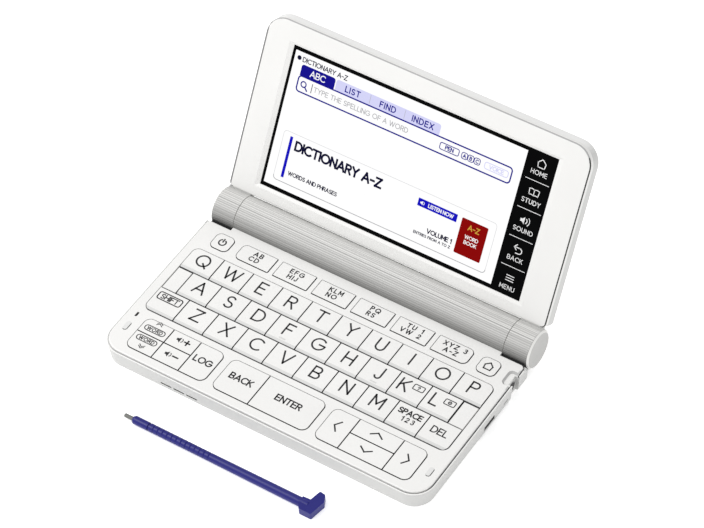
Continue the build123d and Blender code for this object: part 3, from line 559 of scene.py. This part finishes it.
def cell_material():
    """A foil-wrapped cell: grey with a dark band near its positive end, and bare metal ends."""
    shader = Shader("cell_wrap", 0.3, Metallic=0.6)
    low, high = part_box("batteries")
    from_end = shader.math("SUBTRACT", split(shader, shader.place)[0], low.x)
    along = shader.math("FRACT", shader.math("DIVIDE", from_end, (high.x - low.x) / 2))
    tone = shader.ramp(
        along,
        (0.0, (0.5, 0.5, 0.5)), (0.03, (0.5, 0.5, 0.5)), (0.035, (0.30, 0.33, 0.38)),
        (0.70, (0.30, 0.33, 0.38)), (0.71, (0.03, 0.04, 0.06)), (0.96, (0.03, 0.04, 0.06)),
        (0.965, (0.55, 0.55, 0.55)),
    )
    shader.colour(tone)
    shader.rough(shader.noise(220, 3), 0.22, 0.42)
    return shader


def glass_material():
    """Smooth glass over a black printed border, with the faintest smears in its gloss."""
    shader = Shader("black_glass", 0.06, Specular_IOR_Level=0.04)
    smear = shader.noise(60, 5, (1, 2.5, 1))
    shader.colour(shader.ramp(smear, (0.3, (0.0006, 0.0006, 0.0007)), (0.7, (0.0014, 0.0014, 0.0016))))
    shader.rough(smear, 0.04, 0.09)
    return shader


def lit(name, colour, glow):
    """A lit part of the display, with its fine grid of pixels."""
    shader = Shader(name, 0.16, Emission_Strength=glow, Specular_IOR_Level=0.05)
    grid = shader.add("ShaderNodeTexBrick", offset=0.0)
    grid.inputs["Scale"].default_value = 1.0
    grid.inputs["Brick Width"].default_value = PIXEL
    grid.inputs["Row Height"].default_value = PIXEL
    grid.inputs["Mortar Size"].default_value = PIXEL * 0.08
    grid.inputs["Color1"].default_value = (*colour, 1)
    grid.inputs["Color2"].default_value = (*shade(colour, 0.985), 1)
    grid.inputs["Mortar"].default_value = (*shade(colour, 0.93), 1)
    turn = shader.add("ShaderNodeMapping")
    turn.inputs["Rotation"].default_value = (OPEN - pi, 0, 0)  # lays the grid in the lid's plane
    shader.join(shader.place, turn.inputs["Vector"])
    shader.join(turn.outputs[0], grid.inputs["Vector"])
    shader.colour(shader.mix(0.97, grid.outputs["Color"], (0.0, 0.0, 0.0)))
    shader.join(grid.outputs["Color"], shader.base.inputs["Emission Color"])
    return shader.material


def ink(name, colour, roughness=0.5):
    """Printed ink, a little uneven; the same ink is laid for painted shadow lines and marks."""
    shader = Shader(name, roughness)
    cloud = shader.noise(900, 3)
    shader.colour(shader.ramp(cloud, (0.3, shade(colour, 0.8)), (0.7, shade(colour, 1.15))))
    shader.bump(shader.noise(3500, 2), 0.003)
    return shader.material


def stylus_material():
    """Navy moulding with a soft grey tip in the same node, told apart by their place along X."""
    shader = moulded("stylus_plastic", NAVY, 0.36, 4200, 0.004, Specular_IOR_Level=0.35)
    x = split(shader, shader.place)[0]
    repaint(shader, under(shader, x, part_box("stylus")[0].x + STYLUS_TIP), (0.16, 0.16, 0.15))
    return shader


def floor_material():
    shader = Shader("pale_floor", 0.7, Emission_Strength=FLOOR_GLOW)
    cloud = shader.noise(3, 4)
    tone = shader.ramp(cloud, (0.3, (0.90, 0.90, 0.90)), (0.7, (0.92, 0.92, 0.92)))
    shader.colour(tone)
    shader.join(tone, shader.base.inputs["Emission Color"])
    return shader.material


# ---------------------------------------------------------------- the tube's ribs

RIB_COUNT = 60
RIB_H = 0.10 * MM
RIB_SINK = 0.05 * MM
RIB_STEPS = 6
SHARP_FROM = 40  # degrees between two faces of a rib's skin
RIM = 0.85 * MM  # bevel at a knuckle's outer face, which has no ribs
STYLUS_TIP = 4.2 * MM
PIXEL = 0.16 * MM
FLOOR_GLOW = 0.50

barrel = barrel_material()
cell = cell_material()
glass = glass_material()
stylus = stylus_material()
key_ink = ink("key_ink", INK)


def rib_height(angle):
    """Rounded ribs with narrow grooves between them, by the angle from the top of the tube."""
    return RIB_H * (1 - abs(cos(angle * RIB_COUNT / 2)) ** 5)


def ribs(name, x_low, x_high, start, end, body):
    """A ribbed skin round the hinge axis between two X places and two angles, in degrees."""
    whole = end - start >= 360
    count = round((end - start) / 360 * RIB_COUNT * RIB_STEPS)
    angles = [radians(start + (end - start) * n / count) for n in range(count + (0 if whole else 1))]
    mesh = bpy.data.meshes.new(name)
    form = bmesh.new()
    rings = []
    for x, sunk in ((x_low, True), (x_low, False), (x_high, False), (x_high, True)):
        ring = []
        for a in angles:
            r = TUBE_R - RIB_SINK if sunk else TUBE_R + rib_height(a)
            ring.append(form.verts.new((x, AXIS.y + r * sin(a), AXIS.z + r * cos(a))))
        rings.append(ring)
    pairs = list(zip(range(len(angles)), range(1, len(angles))))
    if whole:
        pairs.append((len(angles) - 1, 0))
    for ring, after in zip(rings, rings[1:] + rings[:1]):
        for a, b in pairs:
            form.faces.new((ring[a], ring[b], after[b], after[a]))
    if not whole:
        form.faces.new([ring[0] for ring in rings])
        form.faces.new([ring[-1] for ring in reversed(rings)])
    bmesh.ops.recalc_face_normals(form, faces=form.faces)
    form.to_mesh(mesh)
    form.free()
    for polygon in mesh.polygons:
        polygon.use_smooth = len(polygon.vertices) == 4
    mesh.set_sharp_from_angle(angle=radians(SHARP_FROM))
    return carry(name, mesh, barrel.material, body)


tube_low, tube_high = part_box("battery_tube")
door_low, door_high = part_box("battery_door")
knuckle_low, knuckle_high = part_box("lid_knuckles")
DOOR_GAP = 0.2 * MM
KNUCKLE_GAP = 0.3 * MM
door_angle = 180 - degrees(asin((door_high.y - AXIS.y) / TUBE_R))
opening_angle = 180 - degrees(asin((door_high.y + DOOR_GAP - AXIS.y) / TUBE_R))
opening_x = door_high.x + DOOR_GAP

ribs("tube_ribs", -opening_x, opening_x, -opening_angle, opening_angle, "base")
ribs("tube_ribs_left", tube_low.x, -opening_x, -180, 180, "base")
ribs("tube_ribs_right", opening_x, tube_high.x, -180, 180, "base")
ribs("door_ribs", door_low.x, door_high.x, door_angle, 360 - door_angle, "battery_door")
ribs("knuckle_ribs_left", knuckle_low.x + RIM, tube_low.x - KNUCKLE_GAP, -180, 180, "lid")
ribs("knuckle_ribs_right", tube_high.x + KNUCKLE_GAP, knuckle_high.x - RIM, -180, 180, "lid")


# ---------------------------------------------------------------- painted shadows and webs beside the knuckles

def prism(name, outline, x_low, x_high, material, body):
    """A solid with one outline of (y, z) points all along X."""
    mesh = bpy.data.meshes.new(name)
    form = bmesh.new()
    rings = [[form.verts.new((x, y, z)) for y, z in outline] for x in (x_low, x_high)]
    count = len(outline)
    for n in range(count):
        form.faces.new((rings[0][n], rings[0][(n + 1) % count], rings[1][(n + 1) % count], rings[1][n]))
    form.faces.new(rings[0])
    form.faces.new(rings[1][::-1])
    bmesh.ops.recalc_face_normals(form, faces=form.faces)
    form.to_mesh(mesh)
    form.free()
    carry(name, mesh, material.material, body)


def round_axis(radius, start, end):
    """Points (y, z) round the hinge axis; angles in degrees from the top towards the front."""
    steps = [start + (end - start) * n / 6 for n in range(7)]
    return [(AXIS.y - radius * sin(radians(a)), AXIS.z + radius * cos(radians(a))) for a in steps]


KNUCKLE_SHADE_R = TUBE_R + 0.18 * MM  # clear of the ribs, which turn with the lid
CASE_REAR = 67.8 * MM
KNUCKLE_SHADE_TOP, KNUCKLE_SHADE_FOOT = 91.5, 108.0  # degrees
# painted shadow: a black strip behind the deck's rear edge where the gap under each knuckle lies in shade; it
# stays with the base when the lid turns
knuckle_shade_black = moulded("painted_knuckle_shadow", (0.006, 0.006, 0.007), 0.95, 2600, 0.03)
knuckle_shade_outline = round_axis(KNUCKLE_SHADE_R, KNUCKLE_SHADE_TOP, KNUCKLE_SHADE_FOOT)
knuckle_shade_outline = [(CASE_REAR - 0.02 * MM, knuckle_shade_outline[0][1])] + knuckle_shade_outline + [(CASE_REAR - 0.02 * MM, knuckle_shade_outline[-1][1])]
KNUCKLE_SHADE_X = (tube_high.x + KNUCKLE_GAP, 72.9 * MM)
prism("knuckle_shadow_left", knuckle_shade_outline, -KNUCKLE_SHADE_X[1], -KNUCKLE_SHADE_X[0], knuckle_shade_black, "base")
prism("knuckle_shadow_right", knuckle_shade_outline, KNUCKLE_SHADE_X[0], KNUCKLE_SHADE_X[1], knuckle_shade_black, "base")

WEB = (8.25, 8.95, -1.0, -1.6)  # up the lid and out of its plane, in mm: it closes the gap to the knuckle
web_points = [AXIS + LID_UP * (v * MM) + LID_OUT * (n * MM)
              for v, n in ((WEB[0], WEB[2]), (WEB[1], WEB[2]), (WEB[1], WEB[3]), (WEB[0], WEB[3]))]
web = [(point.y, point.z) for point in web_points]
web_grey = moulded("web_plastic", (0.50, 0.50, 0.49), 0.45)
prism("knuckle_web_left", web, knuckle_low.x + RIM, tube_low.x - KNUCKLE_GAP, web_grey, "lid")
prism("knuckle_web_right", web, tube_high.x + KNUCKLE_GAP, knuckle_high.x - RIM, web_grey, "lid")


# ---------------------------------------------------------------- shadow lines of the base

def groove_material():
    """A strip in the groove between the top cover and the rim, in painted shade: darkest at the right,
    painted light at the left.
    """
    shader = moulded("rim_groove_plastic", RIM_SHADE, 0.6)
    across = split(shader, shader.place)[0]
    # painted shade, darkest at the right
    repaint(shader, span(shader, across, 60 * MM, 72 * MM), (0.035, 0.035, 0.035))
    # painted light at the left
    repaint(shader, span(shader, across, -66 * MM, -73 * MM), (0.85, 0.85, 0.85))
    return shader


RIM_SHADE = (0.40, 0.40, 0.40)
MICROPHONE = (-70.2, -69.4, 11.2, 13.3)
RIM_GAP = 0.5
RIM_UP = 8.45 * MM  # height of the groove's bottom
SHADOW_W = 0.26 * MM
shadow_ink = ink("gap_shadow", (0.012, 0.012, 0.013), 0.6)
groove = groove_material()


def rim_level(x, y, lift):
    return Vector((x * MM, y * MM, RIM_UP + lift))


def rim_groove(name, centres):
    """A strip along (x, y, start, end) corners of the top cover, on the base."""
    sides = []
    for x, y, start, end, r in centres:
        inner, outer = (arc(x, y, r + grow, r + grow, start, end) for grow in (0.0, RIM_GAP))
        sides += list(zip(inner, outer))
    quads = [[a, b, d, c] for (a, b), (c, d) in zip(sides, sides[1:])]
    flat_mesh(name, quads, rim_level, groove.material, "base")


deck_low, deck_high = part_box("top_cover")
CORNER = 8.5  # of the top cover, in plan
NOTCH = (57.3, 62.7)  # of the stylus, along the right side
REAR = 67.0
left_x, right_x, front_y = deck_low.x / MM + CORNER, deck_high.x / MM - CORNER, deck_low.y / MM + CORNER
rim_groove("rim_groove_front", [
    (left_x, REAR, 179.9, 180, CORNER), (left_x, front_y, 180, 270, CORNER),
    (right_x, front_y, 270, 360, CORNER),
    (right_x, NOTCH[0], 0, 0.1, CORNER),
])
rim_groove("rim_groove_rear", [(right_x, NOTCH[1], 0, 0.1, CORNER), (right_x, REAR, 0, 0.1, CORNER)])


def edge_shadows():
    """Thin dark lines on the deck, along the right and front edges of its openings."""
    mesh = nodes["top_cover"].data
    quads = []
    for face in mesh.polygons:
        normal = face.normal
        toward = (normal.y - normal.x) / 2 ** 0.5
        edge = [mesh.vertices[n].co for n in face.vertices]
        edge = [point for point in edge if point.z > DECK_Z - 0.01 * MM]
        if abs(normal.z) > 0.3 or toward < 0.1 or len(edge) != 2:
            continue
        if max(abs(point.x) for point in edge) > 71.5 * MM or max(point.y for point in edge) > 66 * MM:
            continue
        width = SHADOW_W * min(1.0, toward / 0.6)
        out = Vector((-normal.x, -normal.y, 0)) * width
        a, b = edge
        quad = [a, b, b + out, a + out]
        if (b - a).cross(out).z < 0:
            quad.reverse()
        quads.append([(point.x / MM, point.y / MM) for point in quad])
    return quads


flat_mesh("opening_shadows", edge_shadows(), on_deck, shadow_ink, "base")
# painted shade: a dark sheet over the microphone slot, for the shade inside it
flat_mesh("microphone_slot_shadow", [round_box(*MICROPHONE, 0.3)], on_deck, shadow_ink, "base")

BAR = (1.5, 0.28, 0.16)  # half length, half width and height of the bars on F and J
BAR_FRONT = 2.15  # front of the key to its bar


def home_bar(node):
    """A small rounded bar that the finger finds."""
    low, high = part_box(node)
    x, y = (low.x + high.x) / 2 / MM, low.y / MM + BAR_FRONT
    mesh = bpy.data.meshes.new("bar_" + node)
    form = bmesh.new()
    rings = []
    for share, up in ((1.0, -0.1), (0.92, 0.55), (0.6, 0.9), (0.25, 1.0)):
        outline = round_box(x - BAR[0] + BAR[1] * (1 - share), x + BAR[0] - BAR[1] * (1 - share),
                            y - BAR[1] * share, y + BAR[1] * share, BAR[1] * share * 0.98)[:-1]
        rings.append([form.verts.new((px * MM, py * MM, DECK_Z + up * BAR[2] * MM)) for px, py in outline])
    for ring, after in zip(rings, rings[1:]):
        for n in range(len(ring)):
            m = (n + 1) % len(ring)
            form.faces.new((ring[n], ring[m], after[m], after[n]))
    form.faces.new(rings[-1])
    form.faces.new(list(reversed(rings[0])))
    bmesh.ops.recalc_face_normals(form, faces=form.faces)
    form.to_mesh(mesh)
    form.free()
    for polygon in mesh.polygons:
        polygon.use_smooth = True
    carry("bar_" + node, mesh, keycap_bar.material, node)


# the bars are painted darker than the caps, as painted shade
keycap_bar = moulded("bar_plastic", shade(WHITE, 0.80), 0.4, 6500, 0.003)
for node in ("key_f", "key_j"):
    home_bar(node)


# ---------------------------------------------------------------- legends on the keys

LETTER_H = 5.6
LETTER_W = 0.74
LETTER_UP = 1.1  # above the middle of a key
WORD_W = 0.58
SMALL_H = 1.95
SMALL_W = 0.47
SIDE_LETTER = 2.75  # K and L stand this far left of the middle, beside a small icon
ICON = (3.05, 2.4)  # middle of that icon from the middle of the key


def middle(node):
    low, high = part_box(node)
    return (low.x + high.x) / 2 / MM, (low.y + high.y) / 2 / MM


def legend(node, polygons, name="legend"):
    flat_mesh(f"{name}_{node}", polygons, on_deck, key_ink, node)


def small_icon(x, y, letter):
    quads = line(round_box(x - 2.3, x + 2.3, y - 1.3, y + 1.3, 0.5), 0.42)
    if letter == "k":
        quads += line([*arc(x, y + 0.25, 0.4, 0.4, 160, -60), (x, y - 0.3)], 0.42)
        quads.append(plain_box(x - 0.2, x + 0.2, y - 0.95, y - 0.57))
    else:
        quads += line(arc(x, y, 0.62, 0.62, 0, 360), 0.44)
        quads.append(arc(x, y, 0.24, 0.24, 0, 348))
    return quads


for letter in "abcdefghijklmnopqrstuvwxyz":
    node = "key_" + letter
    x, y = middle(node)
    shift = SIDE_LETTER if letter in "kl" else 0
    shapes = words(letter.upper(), x - shift, y + LETTER_UP, LETTER_H, LETTER_W)
    if shift:
        shapes += small_icon(x + ICON[0], y + ICON[1], letter)
    legend(node, shapes)

x, y = middle("key_shift")
SHIFT_BOX = (5.35, 1.85)
shift_y = y + 2.5
box = round_box(x - SHIFT_BOX[0], x + SHIFT_BOX[0], shift_y - SHIFT_BOX[1], shift_y + SHIFT_BOX[1], 0.9)
legend("key_shift", line(box, 0.50) + words("SHIFT", x, shift_y, 2.2, 0.46))

x, y = middle("key_space")
legend("key_space", words("SPACE", x, y + 2.6, 2.3, WORD_W) + words("1 2 3", x + 0.8, y - 0.7, 2.0, 0.44))
x, y = middle("key_delete")
legend("key_delete", words("DEL", x, y + 1.0, 2.9, 0.54))


def power_icon(x, y):
    return line(arc(x, y - 0.2, 1.5, 1.5, 125, 415), 0.62) + line([(x, y + 1.6), (x, y + 0.1)], 0.62)


def home_icon(x, y, size, weight):
    """A plain pentagon with a low roof."""
    half, wall = 0.5 * size, 0.28 * size
    points = [(x - half * 0.84, y - half), (x - half, y + wall * 0.3), (x, y + half * 1.05)]
    points += [(x + half, y + wall * 0.3), (x + half * 0.84, y - half), (x - half * 0.84, y - half)]
    return line(points, weight)


x, y = middle("power_key")
legend("power_key", power_icon(x, y + 0.2))
x, y = middle("home_key")
legend("home_key", home_icon(x, y + 0.2, 3.4, 0.55))

INDEX_ROWS = [("AB", "CD"), ("EFG", "HIJ"), ("KLM", "NO"), ("PQ", "RS"), ("TU 1", "VW 2"), ("XYZ 3", "A-Z")]
low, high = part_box("dictionary_keys")
WORD_KEY_GAP = 2.7  # between two wide caps
pitch = (high.x - low.x) / MM / 6 + WORD_KEY_GAP / 6
shapes = []
for place, (upper, lower) in enumerate(INDEX_ROWS):
    x = low.x / MM + (place + 0.5) * pitch - WORD_KEY_GAP / 2
    y = (low.y + high.y) / 2 / MM
    shapes += words(upper, x + 0.3, y + 1.75, SMALL_H, SMALL_W, spread=2.2)
    shapes += words(lower, x - 0.3, y - 1.15, SMALL_H, SMALL_W, spread=2.2)
legend("dictionary_keys", shapes)


def chevron(x, y, width, height, weight):
    """Two strokes that meet at (x, y + height)."""
    return line([(x - width / 2, y), (x, y + height), (x + width / 2, y)], weight)


low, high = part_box("heading_keys")
x = (low.x + high.x) / 2 / MM
shapes = []
NAV_FRONT = low.y / MM  # front edge of the caps in the front row
for box_y, word_y, way in ((NAV_FRONT + 11.7, NAV_FRONT + 14.6, 1), (NAV_FRONT + 6.1, NAV_FRONT + 3.2, -1)):
    shapes += line(round_box(x - 4.6, x + 4.6, box_y - 1.25, box_y + 1.25, 1.2), 0.40)
    shapes += words("WORD", x, box_y, 1.45, 0.36, spread=1.5)
    shapes += chevron(x, word_y, 2.4, 0.9 * way, 0.34) + chevron(x, word_y + 0.8 * way, 2.4, 0.9 * way, 0.34)
legend("heading_keys", shapes)


def speaker_icon(x, y, size):
    """A filled cone with one sound wave, size high."""
    s = size / 2
    cone = [(x - 1.1 * s, y - 0.4 * s), (x - 0.55 * s, y - 0.4 * s), (x + 0.1 * s, y - s)]
    cone += [(x + 0.1 * s, y + s), (x - 0.55 * s, y + 0.4 * s), (x - 1.1 * s, y + 0.4 * s)]
    return [cone] + line(arc(x + 0.1 * s, y, 0.75 * s, 0.75 * s, -50, 50), 0.28 * s)


low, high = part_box("volume_keys")
x = (low.x + high.x) / 2 / MM
shapes = speaker_icon(x - 1.5, NAV_FRONT + 12.9, 2.8) + speaker_icon(x - 1.5, NAV_FRONT + 4.7, 2.8)
shapes += line([(x + 0.7, NAV_FRONT + 12.9), (x + 2.9, NAV_FRONT + 12.9)], 0.70)
shapes += line([(x + 1.8, NAV_FRONT + 11.8), (x + 1.8, NAV_FRONT + 14.0)], 0.70)
shapes += line([(x + 0.7, NAV_FRONT + 4.7), (x + 2.9, NAV_FRONT + 4.7)], 0.70)
legend("volume_keys", shapes)

NAV_UP = 0.75
for node, text in (("history_key", "LOG"), ("back_key", "BACK"), ("enter_key", "ENTER")):
    x, y = middle(node)
    legend(node, words(text, x, y + NAV_UP, 2.7, 0.60))

x, y = middle("left_key")
legend("left_key", line([(x + 0.6, y + 3.2), (x - 1.3, y + 0.7), (x + 0.6, y - 1.8)], 0.62))
x, y = middle("right_key")
legend("right_key", line([(x - 1.0, y + 3.1), (x + 0.9, y + 0.7), (x - 1.0, y - 1.8)], 0.62))
low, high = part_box("up_down_keys")
x = (low.x + high.x) / 2 / MM - 0.3
arrows = chevron(x, NAV_FRONT + 12.1, 5.1, 1.75, 0.62) + chevron(x, NAV_FRONT + 5.2, 5.0, -1.75, 0.62)
legend("up_down_keys", arrows)


# ---------------------------------------------------------------- the picture on the display

glass_out = max((Vector(v.co) - AXIS).dot(LID_OUT) for v in nodes["touch_glass"].data.vertices)


def on_glass(x, v, lift=0.0):
    """A point on the glass: x across and v up the lid from the hinge axis, in mm."""
    place = AXIS + LID_UP * (v * MM) + LID_OUT * (glass_out + INK_LIFT + lift)
    return Vector((x * MM, place.y, place.z))


LAYER = 0.02 * MM
DISPLAY = (-59.4, 47.0, 16.4, 73.85)
picture = {}


def paint(kind, polygons, layer):
    picture.setdefault((kind, layer), []).extend(polygons)


paint("white", [plain_box(*DISPLAY)], 0)

# the line at the top, and the tabs
paint("dark", [arc(-57.2, 71.2, 0.95, 0.95, 0, 348)], 2)
paint("dark", words("DICTIONARY A-Z", -55.4, 71.15, 1.8, 0.36, 0), 2)
TAB = (64.4, 69.2)
TABS = (-55.3, -39.4, -22.9, -6.9, 9.4)


def tab_shape(x0, x1, r=1.1):
    low, high = TAB
    return [(x0, low), (x1, low), *arc(x1 - r, high - r, r, r, 0, 90), *arc(x0 + r, high - r, r, r, 90, 180)]


paint("navy", [tab_shape(TABS[0], TABS[1])], 1)
row = [(TABS[1] + 0.5, TAB[0] + 0.1), (TABS[4], TAB[0] + 0.1)]
row += arc(TABS[4] - 1.1, TAB[1] - 1.1, 1.1, 1.1, 0, 90) + arc(TABS[1] + 1.6, TAB[1] - 1.1, 1.1, 1.1, 90, 180)
paint("lavender", [row], 1)
for x in TABS[2:4]:
    paint("grey", line([(x, TAB[0] + 0.8), (x, TAB[1] - 0.5)], 0.16), 2)
paint("white", words("ABC", (TABS[0] + TABS[1]) / 2, 66.8, 2.4, 0.40), 2)
for n, text in enumerate(("LIST", "FIND", "INDEX")):
    paint("navy", words(text, (TABS[n + 1] + TABS[n + 2]) / 2 + 0.2, 66.9, 2.2, 0.46, spread=1.6), 2)

# the search box with its icon, caret, hint and small buttons
paint("navy", line(round_box(-55.4, 43.0, 57.9, 64.4, 1.4), 0.60), 2)
paint("navy", line(arc(-52.6, 61.4, 1.15, 1.15, 0, 360), 0.52), 2)
paint("navy", line([(-51.8, 60.5), (-50.7, 59.3)], 0.60), 2)
paint("dark", [plain_box(-48.85, -48.55, 59.2, 63.1)], 2)
paint("grey", words("TYPE THE SPELLING OF A WORD", -47.6, 61.2, 1.9, 0.30, 0, 1.1), 2)
paint("navy", line(round_box(10.9, 19.5, 59.8, 62.55, 0.7), 0.36) + words("PEN", 15.2, 61.2, 1.5, 0.38), 2)
for n, letter in enumerate("ABC"):
    x = 22.1 + n * 2.85
    frame_line = line(round_box(x - 1.3, x + 1.3, 59.85, 62.4, 0.8), 0.34)
    paint("navy", frame_line + words(letter, x, 61.1, 1.3, 0.36), 2)
frame_line = line(round_box(31.2, 41.7, 59.8, 62.5, 0.9), 0.36)
paint("lavender", frame_line + words("VOICE", 36.5, 61.15, 1.5, 0.36), 2)

# the card below
CARD = (-55.8, 43.1, 19.3, 40.6)
paint("pale", line(round_box(*CARD, 1.5), 0.22), 1)
paint("grey", line([*arc(-54.3, 20.8, 1.5, 1.5, 180, 270), *arc(41.6, 20.8, 1.5, 1.5, 270, 360)], 0.32), 2)
paint("blue", [plain_box(-52.6, -51.3, 21.2, 39.0)], 2)
paint("dark", words("DICTIONARY A-Z", -49.3, 36.0, 3.5, 0.92, 0), 2)
paint("dark", words("WORDS AND PHRASES", -49.6, 24.0, 1.5, 0.36, 0), 2)
paint("blue", [plain_box(8.1, 26.0, 34.2, 37.5)], 2)
paint("white", speaker_icon(10.2, 35.85, 1.8) + words("LISTEN NOW", 18.6, 35.85, 1.35, 0.30), 3)
paint("dark", words("VOLUME 1", 26.2, 25.9, 1.7, 0.42, 1), 2)
paint("dark", words("ENTRIES FROM A TO Z", 26.2, 23.4, 1.0, 0.26, 1, 1.3), 2)
paint("red", [round_box(28.1, 40.0, 22.4, 37.4, 0.5)], 2)
paint("gold", words("A-Z", 34.1, 34.4, 2.0, 0.4), 3)
paint("white", words("WORD", 34.1, 30.4, 1.35, 0.26) + words("BOOK", 34.1, 28.1, 1.35, 0.26), 3)


# the black strip of touch icons
STRIP_X = 54.0
CELLS = (69.3, 57.1, 44.9, 32.6, 20.3)


def strip_icon(kind, x, y):
    if kind == "HOME":
        return home_icon(x, y, 3.4, 0.36)
    if kind == "STUDY":  # an open book
        left = line([(x, y - 1.2), *arc(x - 1.1, y - 1.5, 1.1, 0.5, 40, 140), (x - 2.2, y + 1.2)], 0.32)
        right = line([(x, y - 1.2), *arc(x + 1.1, y - 1.5, 1.1, 0.5, 140, 40), (x + 2.2, y + 1.2)], 0.32)
        pages = arc(x - 1.1, y + 0.9, 1.1, 0.5, 160, 20) + arc(x + 1.1, y + 0.9, 1.1, 0.5, 160, 20)
        top = line(pages, 0.32)
        return left + right + top + line([(x, y - 1.2), (x, y + 1.1)], 0.32)
    if kind == "SOUND":
        return speaker_icon(x - 0.8, y, 3.0) + line(arc(x - 0.6, y, 2.2, 2.2, -45, 45), 0.3)
    if kind == "BACK":
        bend = arc(x + 0.6, y - 0.3, 1.2, 1.2, 90, -90)
        hook = [(x - 1.7, y + 0.9), (x + 0.6, y + 0.9), *bend, (x - 0.6, y - 1.5)]
        return line(hook, 0.38) + line([(x - 0.7, y + 2.0), (x - 1.8, y + 0.9), (x - 0.7, y - 0.2)], 0.38)
    rows = [y + n * 1.05 for n in (-1, 0, 1)]
    return [quad for row in rows for quad in line([(x - 1.6, row), (x + 1.6, row)], 0.34)]


for y, kind in zip(CELLS, ("HOME", "STUDY", "SOUND", "BACK", "MENU")):
    paint("strip", strip_icon(kind, STRIP_X, y + 1.6), 0)
    paint("strip", words(kind, STRIP_X - 0.2, y - 2.4, 1.7, 0.28, 0.5, 1.3), 0)
for y in (63.4, 51.2, 38.9, 26.65):
    paint("strip", line([(48.9, y), (59.1, y)], 0.26), 0)

GLOW = 1.0
INKS = {
    "white": lit("display_white", (1.0, 1.0, 1.0), GLOW),
    "navy": lit("display_navy", (0.006, 0.004, 0.26), GLOW),
    "blue": lit("display_blue", (0.006, 0.004, 0.50), GLOW),
    "lavender": lit("display_lavender", (0.66, 0.66, 0.93), GLOW),
    "grey": lit("display_grey", (0.40, 0.40, 0.42), GLOW),
    "pale": lit("display_pale", (0.66, 0.66, 0.68), GLOW),
    "dark": lit("display_dark", (0.004, 0.004, 0.03), GLOW),
    "red": lit("display_red", (0.25, 0.0, 0.0), GLOW),
    "gold": lit("display_gold", (0.60, 0.36, 0.05), GLOW),
    "strip": ink("strip_ink", (0.75, 0.75, 0.75), 0.3),
}
for (kind, layer), polygons in picture.items():
    flat_mesh(f"screen_{kind}_{layer}", polygons, on_glass, INKS[kind], "lid", layer * LAYER)


# ---------------------------------------------------------------- materials on the CAD nodes

MATERIALS = {
    "lower_case": casing, "top_cover": deck, "key_sheet": dark_rubber, "main_board": board,
    "speaker": black, "usb_socket": steel, "stylus_sleeve": sleeve_grey, "battery_tube": barrel,
    "battery_door": barrel, "batteries": cell, "battery_contacts": steel, "hinge_pins": steel,
    "case_screws": steel, "rubber_pads": rubber, "lid_bezel": lid_face, "lid_back": lid_shell,
    "touch_glass": glass, "lcd_panel": glass, "lid_knuckles": barrel, "stylus": stylus,
}
for name, node in nodes.items():
    shader = keycap if name in CAPS else MATERIALS[name]
    node.data.materials.clear()
    node.data.materials.append(shader.material)


# ---------------------------------------------------------------- floor, light and camera

floor_mesh = bpy.data.meshes.new("floor")
FLOOR = 4.0  # half its side
corners = [(-FLOOR, -FLOOR, 0), (FLOOR, -FLOOR, 0), (FLOOR, FLOOR, 0), (-FLOOR, FLOOR, 0)]
floor_mesh.from_pydata(corners, [], [(0, 1, 2, 3)])
floor = bpy.data.objects.new("floor", floor_mesh)
bpy.context.scene.collection.objects.link(floor)
floor_mesh.materials.append(floor_material())
floor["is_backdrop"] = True

WORLD_LIGHT = 0.74
world = bpy.data.worlds.new("soft_white")
world.use_nodes = True
backdrop = world.node_tree.nodes["Background"]
backdrop.inputs["Color"].default_value = (1, 1, 1, 1)
backdrop.inputs["Strength"].default_value = WORLD_LIGHT
bpy.context.scene.world = world
bpy.context.scene.view_settings.view_transform = "Standard"


def soft_light(name, place, size, power):
    lamp = bpy.data.lights.new(name, "AREA")
    lamp.shape = "DISK"
    lamp.size = size
    lamp.energy = power
    ob = bpy.data.objects.new(name, lamp)
    bpy.context.scene.collection.objects.link(ob)
    ob.location = place
    ob.rotation_euler = (Vector(place) - Vector((0, 0.05, 0))).to_track_quat("Z", "Y").to_euler()


soft_light("key_light", (-0.58, -0.36, 0.98), 0.7, 6.4)
soft_light("fill_light", (0.7, -0.9, 0.9), 1.2, 0.8)

EYE = Vector((0.50608, -0.64752, 1.024))
AZIMUTH, ELEVATION, ROLL = radians(35.525), radians(48.708), radians(-3.471)
FOCAL_PX = 3405.145
PHOTO_W = 704
back = Vector((sin(AZIMUTH) * cos(ELEVATION), -cos(AZIMUTH) * cos(ELEVATION), sin(ELEVATION)))
right = (-back).cross(Vector((0, 0, 1))).normalized()
up = right.cross(-back)
right, up = cos(ROLL) * right + sin(ROLL) * up, cos(ROLL) * up - sin(ROLL) * right
camera = bpy.data.cameras.new("camera")
camera.lens = FOCAL_PX * camera.sensor_width / PHOTO_W
camera.clip_end = 10
viewer = bpy.data.objects.new("camera", camera)
bpy.context.scene.collection.objects.link(viewer)
pose = Matrix((right, up, back)).transposed().to_4x4()
pose.translation = EYE
viewer.matrix_world = pose
bpy.context.scene.camera = viewer

low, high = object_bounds()
